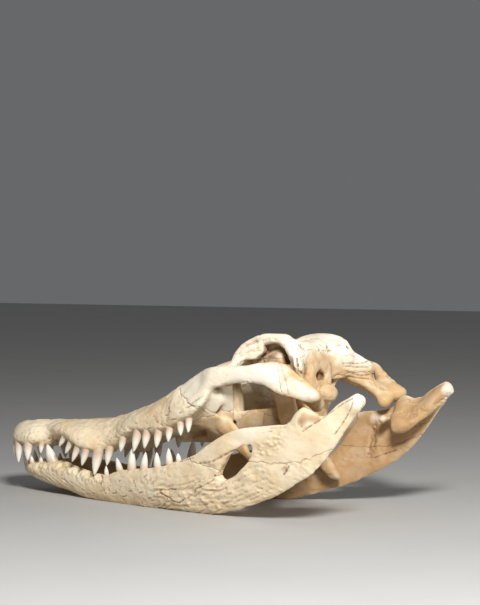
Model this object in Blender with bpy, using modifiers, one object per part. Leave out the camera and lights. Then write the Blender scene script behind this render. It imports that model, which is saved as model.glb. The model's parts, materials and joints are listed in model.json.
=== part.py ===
# Crocodile skull: the cranium lies a little askew on its lower jaw, and the jaw rests on flats.
# X runs from the snout tip to the back of the jaws, +Y is the animal's right side, Z is up.
# Sizes are in millimetres in the tables and functions, and MM turns them into metres.
import math

import bpy
import bmesh
import numpy as np
from mathutils import Euler, Vector

MM = 0.001
ALONG = (1, 0, 0)

# ------------------------------------------------------------------ driving sizes
ORIGIN_X = 288.0                     # middle of the whole skull, from the tip of the jaw
ORIGIN_Y = 11.3                      # and from the middle line of the jaw
JAW_LENGTH = 592.0                   # lower jaw, tip of the dentaries to the rear ends
CRANIUM_TURN = (-2.8, -5.3, 1.3)     # roll, pitch and yaw of the cranium on the jaw, degrees
CRANIUM_SHIFT = (-11.2, -0.8, 28.4)  # from the jaw's tip to the cranium's own origin
GAP = 0.3                            # width of every suture
SLIVER = 0.02                        # shortest edge that a cut may leave
VOXEL = 2.4                          # fineness of the blended bone before it is thinned
CRANIUM_FACES = 2180
JAW_FACES = 545                      # each side
SIDES = (("left", -1), ("right", 1))
TOOTH_SIDES = 5
TOOTH_INSET = 6.0                    # from the outer face of the jaw to the middle of a tooth
PREMAXILLARY_TEETH = 5               # each side

# ------------------------------------------------------------------ outlines along X
SNOUT_HALF_WIDTH = ((-2, 3), (2, 14), (12, 29), (32, 42), (54, 46), (78, 39), (92, 45), (120, 56),
                    (150, 64), (188, 61), (225, 72), (270, 88), (320, 102), (356, 109))
SNOUT_TOP = ((-2, 46), (2, 53), (12, 60), (30, 64), (60, 62), (100, 60), (160, 59), (200, 65),
             (250, 76), (285, 90), (310, 101), (356, 114))
TOOTH_MARGIN = ((-2, 38), (2, 34), (15, 31), (50, 28), (68, 28), (90, 39), (108, 37), (128, 26),
                (150, 17), (173, 12), (195, 17), (222, 29), (240, 35), (290, 33), (333, 43),
                (356, 51))
JAW_OUTER = ((0, 6), (8, 18), (22, 29), (60, 40), (100, 48), (150, 58), (200, 70), (250, 84),
             (300, 96), (350, 105), (400, 112), (450, 116), (500, 118), (545, 117), (590, 112))
JAW_INNER = ((0, -3), (72, -3), (100, 13), (150, 28), (200, 43), (250, 57), (300, 70), (340, 81),
             (360, 88), (400, 96), (450, 101), (500, 104), (545, 104), (590, 104))
JAW_KEEL = ((0, 2), (20, 11), (60, 22), (100, 33), (150, 44), (200, 55), (250, 65), (300, 72),
            (350, 79), (400, 89), (450, 99), (500, 106), (545, 109), (590, 108))
JAW_TOP = ((0, 34), (20, 38), (88, 44), (125, 38), (172, 34), (205, 44), (266, 52), (303, 61),
           (338, 72), (371, 92), (414, 111), (478, 120), (500, 122), (537, 131), (562, 151),
           (578, 157), (590, 152))
JOINT_KNOBS = {-1: (511, 20), 1: (522, 15)}  # place and height of the knob beside each joint
JAW_BOTTOM = ((0, 27), (18, 20), (40, 15), (80, 9), (120, 3), (146, -2), (200, -2.5), (345, -2.5),
              (372, 0), (400, 7), (436, 17), (469, 31), (497, 45), (526, 65), (550, 90),
              (572, 120), (590, 143))

# Teeth: place along the jaw, length, half-width at the root, forward lean (share of length)
UPPER_TEETH = ((6, 14, 3.0, 0.1), (14, 20, 3.6, 0.1), (25, 26, 4.6, 0.0), (46, 22, 5.2, 0.05),
               (66, 13, 3.2, 0.1), (113, 15, 3.4, 0.7), (126, 16, 3.6, 0.6), (141, 20, 4.0, 0.5),
               (155, 20, 4.4, 0.35), (173, 29, 6.0, 0.2), (191, 21, 4.6, 0.2),
               (219, 16, 4.2, 0.2), (251, 24, 5.0, 0.25), (270, 19, 4.6, 0.2),
               (292, 18, 4.4, 0.15), (313, 15, 4.0, 0.1), (333, 14, 3.8, -0.05),
               (348, 16, 3.8, 0.05))
LOWER_TEETH = ((7, 18, 3.4, 0.3), (22, 12, 3.0, 0.2), (40, 9, 2.8, 0.1), (63, 23, 5.0, 0.05),
               (174, 13, 2.8, 0.0), (201, 17, 3.8, 0.25), (225, 28, 5.0, -0.1),
               (249, 22, 4.4, -0.2), (275, 19, 4.2, 0.0), (297, 20, 4.2, 0.0),
               (314, 10, 3.2, 0.05))
KNOB_REACH = 14
CONDYLE = ((487, 0, 73.5), (13, 14.5, 11.5))  # centre and radii of the knob below the brain

# ------------------------------------------------------------------ curves and skins
def along(knots, x):
    """Smooth value at x between knots, never overshooting them."""
    xs = np.array([k[0] for k in knots], float)
    ys = np.array([k[1] for k in knots], float)
    slopes = np.diff(ys) / np.diff(xs)
    tangents = np.zeros(len(xs))
    tangents[0] = slopes[0]
    tangents[-1] = slopes[-1]
    for i in range(1, len(xs) - 1):
        if slopes[i - 1] * slopes[i] > 0:
            tangents[i] = 2 * slopes[i - 1] * slopes[i] / (slopes[i - 1] + slopes[i])
    x = min(max(x, xs[0]), xs[-1])
    i = min(int(np.searchsorted(xs, x, side="right")) - 1, len(xs) - 2)
    step = xs[i + 1] - xs[i]
    t = (x - xs[i]) / step
    start = (2 * t**3 - 3 * t**2 + 1) * ys[i] + (t**3 - 2 * t**2 + t) * step * tangents[i]
    end = (3 * t**2 - 2 * t**3) * ys[i + 1] + (t**3 - t**2) * step * tangents[i + 1]
    return float(start + end)


def spread(first, last, count):
    return [first + (last - first) * i / (count - 1) for i in range(count)]


def power(value, exponent):
    return math.copysign(abs(value) ** exponent, value)


def add_object(name, mesh, collection):
    piece = bpy.data.objects.new(name, mesh)
    collection.objects.link(piece)
    return piece


def skin(name, rings, collection):
    """A closed skin through rings of equal count, its ends filled."""
    count = len(rings[0])
    points = [Vector(p) * MM for ring in rings for p in ring]
    faces = []
    for i in range(len(rings) - 1):
        for j in range(count):
            a = i * count + j
            b = i * count + (j + 1) % count
            faces.append((a, b, b + count, a + count))
    faces.append(tuple(range(count))[::-1])
    faces.append(tuple(range((len(rings) - 1) * count, len(rings) * count)))
    mesh = bpy.data.meshes.new(name)
    mesh.from_pydata(points, [], faces)
    shape = bmesh.new()
    shape.from_mesh(mesh)
    bmesh.ops.remove_doubles(shape, verts=shape.verts, dist=0.001 * MM)
    bmesh.ops.triangulate(shape, faces=[f for f in shape.faces if len(f.verts) > 4])
    bmesh.ops.recalc_face_normals(shape, faces=shape.faces)
    shape.to_mesh(mesh)
    shape.free()
    return add_object(name, mesh, collection)


def bar(name, stations, collection, sides=14, steps=5):
    """A smooth strut: stations hold centre, half-width, half-thickness and width direction."""
    rows = np.array([[*s[0], s[1], s[2], *s[3]] for s in stations], float)
    last = len(rows) - 1
    samples = []
    for i in range(last):
        before, a, b, after = (rows[max(i - 1, 0)], rows[i], rows[i + 1], rows[min(i + 2, last)])
        for k in range(steps):
            t = k / steps
            samples.append(0.5 * (2 * a + (b - before) * t
                                  + (2 * before - 5 * a + 4 * b - after) * t**2
                                  + (3 * a - before - 3 * b + after) * t**3))
    samples.append(rows[last])
    centres = [Vector(s[:3]) for s in samples]
    rings = []
    for i, s in enumerate(samples):
        tangent = centres[min(i + 1, len(centres) - 1)] - centres[max(i - 1, 0)]
        wide = Vector(s[5:8]).normalized()
        thick = tangent.cross(wide).normalized()
        ring = []
        for j in range(sides):
            angle = math.tau * j / sides
            ring.append(centres[i] + wide * (s[3] * power(math.cos(angle), 0.85))
                        + thick * (s[4] * power(math.sin(angle), 0.85)))
        rings.append(ring)
    return skin(name, rings, collection)


def ball(name, centre, radii, collection, turn=(0, 0, 0), exponent=1.0, fineness=8):
    """An ellipsoid, or a softer box where the exponent is under 1."""
    shape = bmesh.new()
    bmesh.ops.create_uvsphere(shape, u_segments=3 * fineness, v_segments=2 * fineness, radius=1.0)
    spin = Euler([math.radians(a) for a in turn]).to_matrix()
    for v in shape.verts:
        local = Vector([power(c, exponent) * r for c, r in zip(v.co, radii)])
        v.co = (Vector(centre) + spin @ local) * MM
    mesh = bpy.data.meshes.new(name)
    shape.to_mesh(mesh)
    shape.free()
    return add_object(name, mesh, collection)


def sheet(name, line, reach, collection):
    """A thin cutting sheet: an open line swept by the reach vector, GAP thick."""
    line = [Vector(p) for p in line]
    reach = Vector(reach)
    half = []
    for i, p in enumerate(line):
        tangent = line[min(i + 1, len(line) - 1)] - line[max(i - 1, 0)]
        half.append(tangent.cross(reach).normalized() * GAP / 2)
    rings = []
    for p, h in zip(line, half):
        rings.append([p + h, p + h + reach, p - h + reach, p - h])
    return skin(name, rings, collection)


# ------------------------------------------------------------------ joining and parting
def new_collection(name):
    collection = bpy.data.collections.new(name)
    bpy.context.scene.collection.children.link(collection)
    return collection


def hide_tools(collection):
    for tool in collection.objects:
        tool.hide_render = True
        tool.display_type = "WIRE"


def evaluated_mesh(piece):
    graph = bpy.context.evaluated_depsgraph_get()
    return bpy.data.meshes.new_from_object(piece.evaluated_get(graph))


def settle(piece):
    """Replace the piece's modifiers by their result."""
    mesh = evaluated_mesh(piece)
    piece.modifiers.clear()
    piece.data = mesh
    return piece


def gather(name, pieces, collection):
    """One object that holds the meshes of all the pieces, which are removed."""
    shape = bmesh.new()
    for piece in pieces:
        shape.from_mesh(piece.data)
        bpy.data.objects.remove(piece)
    mesh = bpy.data.meshes.new(name)
    shape.to_mesh(mesh)
    shape.free()
    return add_object(name, mesh, collection)


def boolean(piece, tool, operation):
    modifier = piece.modifiers.new(tool.name, "BOOLEAN")
    modifier.operation = operation
    modifier.solver = "EXACT"
    modifier.object = tool


def blend(piece, voxel, rounds):
    """Melt overlapping skins into one and smooth the joins."""
    melt = piece.modifiers.new("Melt", "REMESH")
    melt.mode = "VOXEL"
    melt.voxel_size = voxel * MM
    smooth = piece.modifiers.new("Smooth", "SMOOTH")
    smooth.factor = 0.5
    smooth.iterations = rounds
    settle(piece)


def thin(piece, triangles):
    """Bring a dense surface down to about the given number of triangles."""
    present = sum(len(f.vertices) - 2 for f in piece.data.polygons)
    modifier = piece.modifiers.new("Thin", "DECIMATE")
    modifier.ratio = triangles / present
    modifier.use_collapse_triangulate = True
    settle(piece)


def loose_parts(piece):
    """Meshes of the separate bodies of a piece, as lists of points and faces."""
    shape = bmesh.new()
    shape.from_mesh(piece.data)
    seen = set()
    parts = []
    for first in shape.verts:
        if first in seen:
            continue
        seen.add(first)
        group = [first]
        for v in group:
            for edge in v.link_edges:
                other = edge.other_vert(v)
                if other not in seen:
                    seen.add(other)
                    group.append(other)
        order = {v: i for i, v in enumerate(group)}
        faces = [tuple(order[v] for v in f.verts) for f in shape.faces if f.verts[0] in order]
        parts.append(([v.co.copy() for v in group], faces))
    shape.free()
    return parts


def clear_slivers(piece):
    shape = bmesh.new()
    shape.from_mesh(piece.data)
    bmesh.ops.dissolve_degenerate(shape, edges=shape.edges, dist=SLIVER * MM)
    shape.to_mesh(piece.data)
    shape.free()


def part_bones(block, sutures, seeds, collection):
    """Cut the block along its sutures and name each bone by the seed point nearest to it."""
    for suture in sutures:
        boolean(block, suture, "DIFFERENCE")
    settle(block)
    parts = loose_parts(block)
    bones = {}
    for name, seed in seeds.items():
        seed = Vector(seed) * MM
        points, faces = min(parts, key=lambda part: min((p - seed).length for p in part[0]))
        mesh = bpy.data.meshes.new(name)
        mesh.from_pydata(points, [], faces)
        bones[name] = add_object(name, mesh, collection)
        clear_slivers(bones[name])
    bpy.data.objects.remove(block)
    return bones


# ------------------------------------------------------------------ cranium: solid forms
def snout(collection):
    """Upper jaw: a low dome over the tooth margins, with festoons and a notch."""
    rings = []
    for x in [-2, -1, 2, 7, 13] + spread(20, 350, 56):
        width = along(SNOUT_HALF_WIDTH, x)
        top = along(SNOUT_TOP, x)
        margin = along(TOOTH_MARGIN, x)
        waist = margin + min(0.3 * (top - margin), 8)
        ring = []
        for j in range(28):
            angle = math.tau * j / 28
            across = power(math.cos(angle), 0.8)
            rise = power(math.sin(angle), 0.95)
            if rise > 0:
                ring.append((x, width * across, waist + (top - waist) * rise))
            else:
                ring.append((x, width * power(math.cos(angle), 0.45) * (1 + 0.04 * rise),
                             waist + (waist - margin) * rise))
        rings.append(ring)
    return skin("snout", rings, collection)


def skull_roof(collection):
    """Prefrontals and frontal between the orbits, then the flat table with its raised edges."""
    half_width = ((288, 50), (305, 54), (322, 44), (340, 24), (362, 20), (380, 29), (390, 52),
                  (405, 60), (440, 63), (462, 63), (470, 52))
    middle = ((288, 88), (310, 101), (331, 114), (352, 121), (375, 127), (400, 134), (440, 140),
              (470, 138))
    edge_rise = ((288, -18), (305, -18), (322, -7), (345, -1), (380, -2), (392, 3), (408, 11),
                 (425, 13), (448, 15), (462, 14.5), (470, 9))
    thickness = ((288, 24), (330, 14), (380, 11), (420, 11), (470, 13))
    rings = []
    for x in spread(288, 470, 38):
        width = along(half_width, x)
        mid = along(middle, x)
        rise = along(edge_rise, x)
        thick = along(thickness, x)
        ring = []
        for j in range(24):
            angle = math.tau * j / 24
            across = power(math.cos(angle), 0.75)
            up = power(math.sin(angle), 0.7)
            z = mid + rise * across**2 - thick / 2 + up * thick / 2
            ring.append((x, width * across, z))
        rings.append(ring)
    return skin("roof", rings, collection)


def braincase(collection):
    half_width = ((396, 13), (425, 19), (455, 30), (472, 38), (480, 34))
    floor = ((396, 92), (420, 66), (450, 40), (472, 34), (480, 60))
    top = ((396, 128), (450, 134), (470, 132), (480, 120))
    rings = []
    for x in spread(396, 480, 18):
        width = along(half_width, x)
        low = along(floor, x)
        high = along(top, x)
        ring = []
        for j in range(18):
            angle = math.tau * j / 18
            narrow = 0.62 + 0.38 * (math.sin(angle) + 1) / 2
            ring.append((x, width * narrow * power(math.cos(angle), 0.8),
                         (low + high) / 2 + (high - low) / 2 * power(math.sin(angle), 0.8)))
        rings.append(ring)
    return skin("braincase", rings, collection)


def middle_forms(collection):
    """Forms that lie on the middle line."""
    across = (0, 1, 0)
    palatine = bar("palatine", (((276, 0, 22), 24, 10, across), ((330, 0, 24), 19, 9, across),
                                ((375, 0, 22), 20, 9, across), ((405, 0, 17), 27, 9, across)),
                   collection)
    pterygoid = bar("pterygoid", (((392, 0, 18), 26, 9, across), ((425, 0, 18), 30, 10, across),
                                  ((450, 0, 24), 24, 12, across), ((466, 0, 40), 20, 12, across)),
                    collection)
    neck = bar("condyle_neck", (((462, 0, 72), 22, 18, across), ((480, 0, 74), 15, 11, across)),
               collection)
    tubera = bar("tubera", (((470, 0, 66), 22, 9, across), ((468, 0, 48), 24, 8, across),
                            ((462, 0, 34), 20, 8, across)), collection)
    return [palatine, pterygoid, neck, tubera]


def side_forms(side, collection):
    """Forms of one side: arches, quadrate, wings of the palate and of the occiput."""
    def at(x, y, z):
        return (x, y * side, z)

    def way(x, y, z):
        return (x, y * side, z)

    forms = [
        bar("cheek", ((at(322, 90, 68), 24, 11, way(0, -0.42, 0.9)),
                      (at(350, 97, 78), 27, 9, way(0, -0.42, 0.9)),
                      (at(374, 104, 88), 25, 7.5, way(0, -0.36, 0.93)),
                      (at(390, 110, 98), 16, 6.5, way(0, -0.25, 0.97)),
                      (at(412, 114, 101), 12, 6, way(0, -0.15, 1)),
                      (at(440, 117, 101), 11, 6, way(0, -0.1, 1)),
                      (at(468, 119, 100), 14, 6.5, way(0, -0.15, 1)),
                      (at(492, 118, 93), 20, 6.5, way(0.1, -0.3, 0.95)),
                      (at(512, 113, 80), 14, 7, way(0.1, -0.4, 0.9)),
                      (at(528, 108, 71), 9, 8, way(0.1, -0.4, 0.9))), collection),
        bar("postorbital_bar", ((at(398, 48, 128), 11, 8, way(1, 0, 0)),
                                (at(399, 62, 120), 8, 6.5, way(1, 0, 0)),
                                (at(401, 78, 112), 6.5, 5.5, way(1, 0, 0)),
                                (at(402, 92, 106), 8, 5.5, way(1, 0, 0)),
                                (at(403, 108, 102), 12, 6, way(1, 0, 0))), collection),
        bar("squamosal", ((at(432, 55, 142), 9, 5.5, way(0, 1, -0.1)),
                          (at(455, 57, 143), 10, 6.5, way(0, 1, -0.2)),
                          (at(473, 62, 136), 11, 7, way(0, 0.9, -0.45)),
                          (at(486, 71, 119), 12, 6, way(0, 0.75, -0.66)),
                          (at(499, 83, 107), 9, 6, way(0, 0.7, -0.7)),
                          (at(505, 90, 100), 6, 5, way(0, 0.7, -0.7))), collection),
        bar("occiput", ((at(468, 0, 112), 24, 9, way(0, 0, 1)),
                        (at(470, 30, 112), 23, 8, way(0, 0, 1)),
                        (at(480, 56, 110), 19, 7, way(0, 0.1, 1)),
                        (at(493, 76, 106), 13, 6.5, way(0, 0.2, 1)),
                        (at(503, 89, 101), 8, 5, way(0, 0.2, 1))), collection),
        bar("quadrate", ((at(432, 42, 112), 22, 7, way(0.55, 0.6, -0.5)),
                         (at(456, 62, 104), 25, 8, way(0.35, 0.75, -0.5)),
                         (at(484, 82, 90), 23, 9, way(0.1, 0.9, -0.35)),
                         (at(508, 92, 76), 20, 9, way(-0.05, 0.95, -0.1)),
                         (at(524, 95, 65), 17, 10, way(0.35, 0.9, 0.35)),
                         (at(529, 96, 62), 13, 8, way(0.4, 0.9, 0.4))), collection),
        bar("quadrate_wing", ((at(454, 54, 101), 20, 6, way(1, 0.2, 0)),
                              (at(452, 40, 64), 17, 5, way(1, 0.2, 0)),
                              (at(446, 26, 34), 15, 6, way(1, 0.1, 0))), collection),
        bar("temporal_wall", ((at(414, 30, 126), 14, 5, way(0, 1, -0.3)),
                              (at(436, 38, 124), 16, 6, way(0, 1, -0.3)),
                              (at(462, 44, 122), 18, 7, way(0, 1, -0.3))), collection),
        bar("pterygoid_wing", ((at(420, 8, 17), 26, 8, way(1, 0, 0)),
                               (at(424, 32, 12), 25, 6, way(0.95, 0, -0.2)),
                               (at(431, 50, 3), 26, 5, way(0.85, 0, -0.45)),
                               (at(436, 64, -9), 28, 5, way(0.75, 0.05, -0.66)),
                               (at(440, 72, -15), 31, 5.5, way(0.62, 0.05, -0.8)),
                               (at(441, 76, -16), 24, 4, way(0.6, 0.05, -0.8))), collection),
        bar("ectopterygoid", ((at(362, 95, 80), 38, 7, way(1, 0.15, 0.2)),
                              (at(365, 87, 62), 33, 6.5, way(1, 0.15, 0)),
                              (at(367, 79, 47), 33, 5.5, way(1, 0.18, 0.1)),
                              (at(385, 76, 32), 25, 5, way(1, 0.1, -0.1)),
                              (at(402, 73, 12), 17, 5, way(0.9, 0, -0.4)),
                              (at(416, 71, -6), 16, 5, way(0.75, 0, -0.65))), collection),
        bar("prefrontal_pillar", ((at(322, 26, 104), 11, 8, way(1, 0, 0)),
                                  (at(326, 20, 66), 8, 5, way(1, 0, 0)),
                                  (at(330, 14, 28), 12, 6, way(1, 0, 0))), collection),
        ball("condyle_outer", at(531, 107, 69), (9, 10, 9.5), collection),
        ball("condyle_inner", at(521, 84, 60), (9, 11, 9.5), collection),
    ]
    return forms


def cranium_cutters(collection):
    """Openings of the cranium: nostril, orbits, holes of the table, palate and occiput."""
    cutters = [
        ball("nostril", (43, 0, 72), (23, 15, 24), collection),
        ball("incisive_gap", (30, 0, 22), (14, 8, 20), collection),
        ball("palate", (190, 0, 6), (170, 34, 22), collection, exponent=0.8),
        ball("great_foramen", (480, 0, 95.5), (22, 10, 7.5), collection),
        ball("back_nostril", (452, 0, 10), (9, 9, 12), collection),
    ]
    for name, side in SIDES:
        cutters += [
            ball("orbit_" + name, (343, 47 * side, 118), (33, 25, 46), collection,
                 turn=(-14 * side, 0, -6 * side), exponent=0.9),
            ball("orbit_floor_" + name, (345, 50 * side, 62), (40, 29, 36), collection,
                 exponent=0.8),
            ball("palate_gap_" + name, (326, 44 * side, 20), (52, 21, 36), collection,
                 exponent=0.9),
            ball("table_hole_" + name, (437, 27 * side, 140), (14, 11, 34), collection),
            ball("tooth_wall_" + name, (250, 40 * side, 16), (76, 20, 16), collection,
                 turn=(0, 0, 14 * side)),
            ball("temple_hole_" + name, (483, 37 * side, 124), (20, 7, 5), collection,
                 turn=(0, 0, 20 * side)),
        ]
    return cutters


# ------------------------------------------------------------------ lower jaw: solid forms
def jaw_ramus(side, collection):
    """One half of the lower jaw, leaning outwards from its keel to the tooth row."""
    rings = []
    for x in [0, 2, 6, 12] + spread(20, JAW_LENGTH - 2, 66):
        outer = along(JAW_OUTER, x)
        inner = along(JAW_INNER, x)
        keel = along(JAW_KEEL, x)
        knob_place, knob_height = JOINT_KNOBS[side]
        knob = knob_height * math.exp(-((x - knob_place) / KNOB_REACH) ** 2)
        top = along(JAW_TOP, x) + knob
        low = along(JAW_BOTTOM, x)
        thick = outer - inner
        lip = outer - 0.42 * thick
        ring = []
        for j in range(24):
            angle = math.tau * j / 24
            rise = (power(math.sin(angle), 0.9) + 1) / 2
            reach = power(math.cos(angle), 0.9)
            lean = keel + (lip - keel) * rise**0.55
            half = 0.42 * thick * (1 - 0.25 * (1 - rise))
            ring.append((x, (lean + half * reach) * side, low + (top - low) * rise))
        rings.append(ring)
    return skin("ramus", rings, collection)


def jaw_forms(side, collection):
    def at(x, y, z):
        return (x, y * side, z)

    knob = JOINT_KNOBS[side][0]
    return [
        jaw_ramus(side, collection),
        bar("joint_saddle", ((at(knob + 4, 112, 128), 15, 11, ALONG),
                             (at(knob + 7, 100, 116), 16, 11, ALONG),
                             (at(knob + 9, 86, 106), 15, 10, ALONG),
                             (at(knob + 10, 76, 100), 10, 8, ALONG)), collection),
        bar("joint_lip", ((at(506, 110, 115), 11, 6, (0, side, 0)),
                          (at(505, 96, 112), 11, 6, (0, side, -0.3)),
                          (at(506, 83, 107), 8, 6, (0, side, -0.4))), collection),
        bar("rear_shelf", ((at(522, 92, 106), 20, 9, (0, side, 0.55)),
                           (at(542, 93, 114), 21, 8, (0, side, 0.75)),
                           (at(562, 99, 128), 18, 8, (0, side, 0.8)),
                           (at(577, 106, 143), 13, 9, (0, side, 0.8)),
                           (at(585, 109, 151), 7, 6, (0, side, 0.8))), collection),
        ball("rear_knob", at(583, 109, 149.5), (9.5, 8, 10), collection),
    ]


def jaw_cutters(side, collection):
    """The side opening of the jaw, the muscle pit on its inner side, and the floor plane."""
    pit = ball("muscle_pit", (444, 95 * side, 82), (52, 11.5, 29), collection,
               turn=(-9 * side, -14, 4 * side), exponent=0.75)
    window = ball("window", (409, 112 * side, 68), (36, 60, 11.5), collection,
                  turn=(0, -39, 0))
    return [pit, window]


def box(name, low, high, collection):
    shape = bmesh.new()
    bmesh.ops.create_cube(shape, size=1.0)
    for v in shape.verts:
        v.co = Vector([(a + b) / 2 + c * (b - a) for a, b, c in zip(low, high, v.co)]) * MM
    mesh = bpy.data.meshes.new(name)
    shape.to_mesh(mesh)
    shape.free()
    return add_object(name, mesh, collection)


def jaw_planes(side, collection):
    """Flats: the level that the jaw rests on, and the middle line where the halves meet."""
    inside = sorted((-60 * side, GAP / 2 * side))
    return [
        box("floor", (-20, -200, -40), (JAW_LENGTH, 200, 0), collection),
        box("symphysis", (-20, inside[0], -50), (130, inside[1], 90), collection),
    ]


# ------------------------------------------------------------------ teeth
def tooth(name, root, lean, length, half_width, collection):
    """A slightly hooked cone that starts inside the bone."""
    rings = []
    side_way = lean.cross(Vector(ALONG)).normalized()
    long_way = side_way.cross(lean)
    for share, girth in ((-0.4, 1.0), (0.45, 0.78), (1.0, 0.0)):
        bow = -0.06 * length * math.sin(math.pi * max(share, 0))
        centre = Vector(root) + lean * length * share + long_way * bow
        ring = []
        for j in range(TOOTH_SIDES):
            angle = math.tau * j / TOOTH_SIDES
            ring.append(centre + (long_way * math.cos(angle) + side_way * math.sin(angle) * 0.85)
                        * half_width * girth)
        rings.append(ring)
    return skin(name, rings, collection)


def upper_teeth(side, collection):
    teeth = []
    for x, length, half_width, forward in UPPER_TEETH:
        root = (x, (along(SNOUT_HALF_WIDTH, x) - TOOTH_INSET) * side, along(TOOTH_MARGIN, x) + 2)
        lean = Vector((-forward, 0.12 * side, -1)).normalized()
        teeth.append(tooth("upper_tooth", root, lean, length, half_width, collection))
    return teeth


def lower_teeth(side, collection):
    teeth = []
    for x, length, half_width, forward in LOWER_TEETH:
        outer = along(JAW_OUTER, x)
        inner = max(along(JAW_INNER, x), 0)
        root = (x, (outer - max(0.42 * (outer - inner), 0.0)) * side, along(JAW_TOP, x) - 1)
        lean = Vector((-forward, 0.1 * side, 1)).normalized()
        teeth.append(tooth("lower_tooth", root, lean, length, half_width, collection))
    return teeth


# ------------------------------------------------------------------ sutures
def cranium_sutures(collection):
    """Thin cuts where the bones of the cranium meet."""
    nose_line = [(x, 0, along(SNOUT_TOP, x) - 17) for x in spread(102, 299, 7)]
    cuts = [
        sheet("premaxilla_rear", ((82, -75, -20), (80, -40, -20), (104, -13, -20), (104, 13, -20),
                                  (80, 40, -20), (82, 75, -20)), (0, 0, 110), collection),
        sheet("middle_line", [(x, 0, z + 0.2) for x, _, z in nose_line], (0, 0, -110), collection),
        sheet("frontal_front", ((298, -61, 43.5), (298, 61, 43.5)), (0, 0, 96), collection),
        sheet("frontal_floor", ((297, -61, 44), (297, 61, 44)), (60, 0, 0), collection),
        sheet("palatine_front", ((298, -40, -20), (298, 40, -20)), (0, 0, 65), collection),
        sheet("table_front", ((386, -72, 104), (384, 0, 104), (386, 72, 104)), (0, 0, 46),
              collection),
        sheet("table_seat", ((380, -44, 123), (380, -32, 127), (380, 32, 127), (380, 44, 123)),
              (142, 0, 0), collection),
        sheet("pterygoid_top", ((398, -46, 38), (398, 46, 38)), (90, 0, 0), collection),
        sheet("palatine_rear", ((394, -34, -10), (394, 34, -10)), (0, 0, 60), collection),
    ]
    for name, side in SIDES:
        def at(x, y, z):
            return (x, y * side, z)

        cuts += [
            sheet("nasal_edge_" + name, nose_line, (0, 15 * side, 30), collection),
            sheet("frontal_side_" + name, (at(297, 60.5, 43), at(350, 60.5, 43)), (0, 0, 96),
                  collection),
            sheet("jugal_front_" + name, (at(318, 60, 130), at(334, 60, 84), at(412, 60, 36)),
                  (0, 80 * side, 0), collection),
            sheet("jugal_rear_" + name, (at(450, 105.5, 124), at(487.5, 105.5, 124),
                                         at(487.5, 142, 124)), (14, 0, -68), collection),
            sheet("postorbital_inner_" + name, (at(378, 42, 98), at(412.5, 42, 98)), (0, 0, 28),
                  collection),
            sheet("postorbital_back_" + name, (at(411.5, 38, 129.5), at(411.5, 41.5, 124),
                                               at(411.5, 70, 118), at(411.5, 76, 117)),
                  (0, 0, -30), collection),
            sheet("table_wing_" + name, (at(411, 39, 127.8), at(411, 41.5, 121.5),
                                         at(411, 70, 116.5)), (111, 0, 0), collection),
            sheet("squamosal_seat_" + name, (at(440, 60, 119), at(440, 84, 106),
                                             at(440, 112, 90)), (82, 0, 0), collection),
            sheet("postorbital_foot_" + name, (at(385, 90, 90), at(385, 90, 125)),
                  (34, 0, 0), collection),
            sheet("ectopterygoid_top_" + name, (at(312, 46, 64), at(312, 77, 68),
                                                at(312, 77, 20)), (92, 20 * side, 0), collection),
            sheet("ectopterygoid_front_" + name, (at(334, 50, 14), at(334, 84, 14)),
                  (0, 0, 67), collection),
            sheet("ectopterygoid_foot_" + name, (at(376, 54, 8), at(376, 98, 8)),
                  (56, 0, 14), collection),
            sheet("quadrate_edge_" + name, (at(420, 17, 38), at(420, 28, 60), at(420, 39, 95),
                                            at(420, 75, 98), at(420, 92, 97), at(420, 104, 111)),
                  (100, 0, 0), collection),
        ]
    return cuts


CRANIUM_SEEDS = {
    "premaxilla": (20, 0, 60),
    "nasal": (200, 0, 66),
    "palatine": (340, 0, 30),
    "frontal": (365, 0, 126),
    "skull_table": (455, 0, 138),
    "braincase": (495, 0, 74),
    "pterygoid": (430, 0, 10),
}
CRANIUM_SIDE_SEEDS = {
    "maxilla": (180, 50, 40),
    "jugal": (440, 118, 100),
    "quadrate": (524, 95, 60),
    "ectopterygoid": (388, 84, 30),
}


def jaw_sutures(side, collection):
    def at(x, y, z):
        return (x, y * side, z)

    across = (0, 110 * side, 0)
    return [
        sheet("surangular_front", (at(393, 25, 57), at(345, 25, 64), at(312, 25, 78)), across,
              collection),
        sheet("angular_front", (at(393, 25, 55), at(345, 25, 38), at(300, 25, 20),
                                at(270, 25, -8)), across, collection),
        sheet("angular_top", (at(418, 25, 72), at(462, 25, 71), at(505, 25, 75),
                              at(552, 25, 93)), across, collection),
        sheet("articular_side", (at(484, 101, 60), at(515, 104, 60), at(545, 106, 60),
                                 at(600, 109, 60)), (0, 0, 120), collection),
    ]


JAW_SEEDS = {
    "dentary": (200, 60, 20),
    "surangular": (450, 112, 118),
    "angular": (440, 104, 26),
    "articular": (540, 80, 105),
}

# ------------------------------------------------------------------ finish
BONE_COLOURS = {
    "premaxilla": (0.80, 0.72, 0.58),
    "nasal": (0.84, 0.70, 0.50),
    "maxilla": (0.83, 0.76, 0.63),
    "palatine": (0.76, 0.62, 0.42),
    "frontal": (0.84, 0.77, 0.64),
    "skull_table": (0.88, 0.82, 0.71),
    "braincase": (0.78, 0.64, 0.44),
    "pterygoid": (0.80, 0.70, 0.53),
    "jugal": (0.88, 0.83, 0.73),
    "quadrate": (0.84, 0.75, 0.58),
    "ectopterygoid": (0.84, 0.76, 0.61),
    "dentary": (0.84, 0.78, 0.66),
    "surangular": (0.85, 0.79, 0.66),
    "angular": (0.83, 0.76, 0.62),
    "articular": (0.84, 0.74, 0.54),
}


def bone_material(name):
    kind = name.replace("_left", "").replace("_right", "")
    material = bpy.data.materials.new(name + "_bone")
    material.use_nodes = True
    shader = material.node_tree.nodes["Principled BSDF"]
    shader.inputs["Base Color"].default_value = (*BONE_COLOURS[kind], 1)
    shader.inputs["Roughness"].default_value = 0.62
    shader.inputs["Metallic"].default_value = 0.0
    return material


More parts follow.
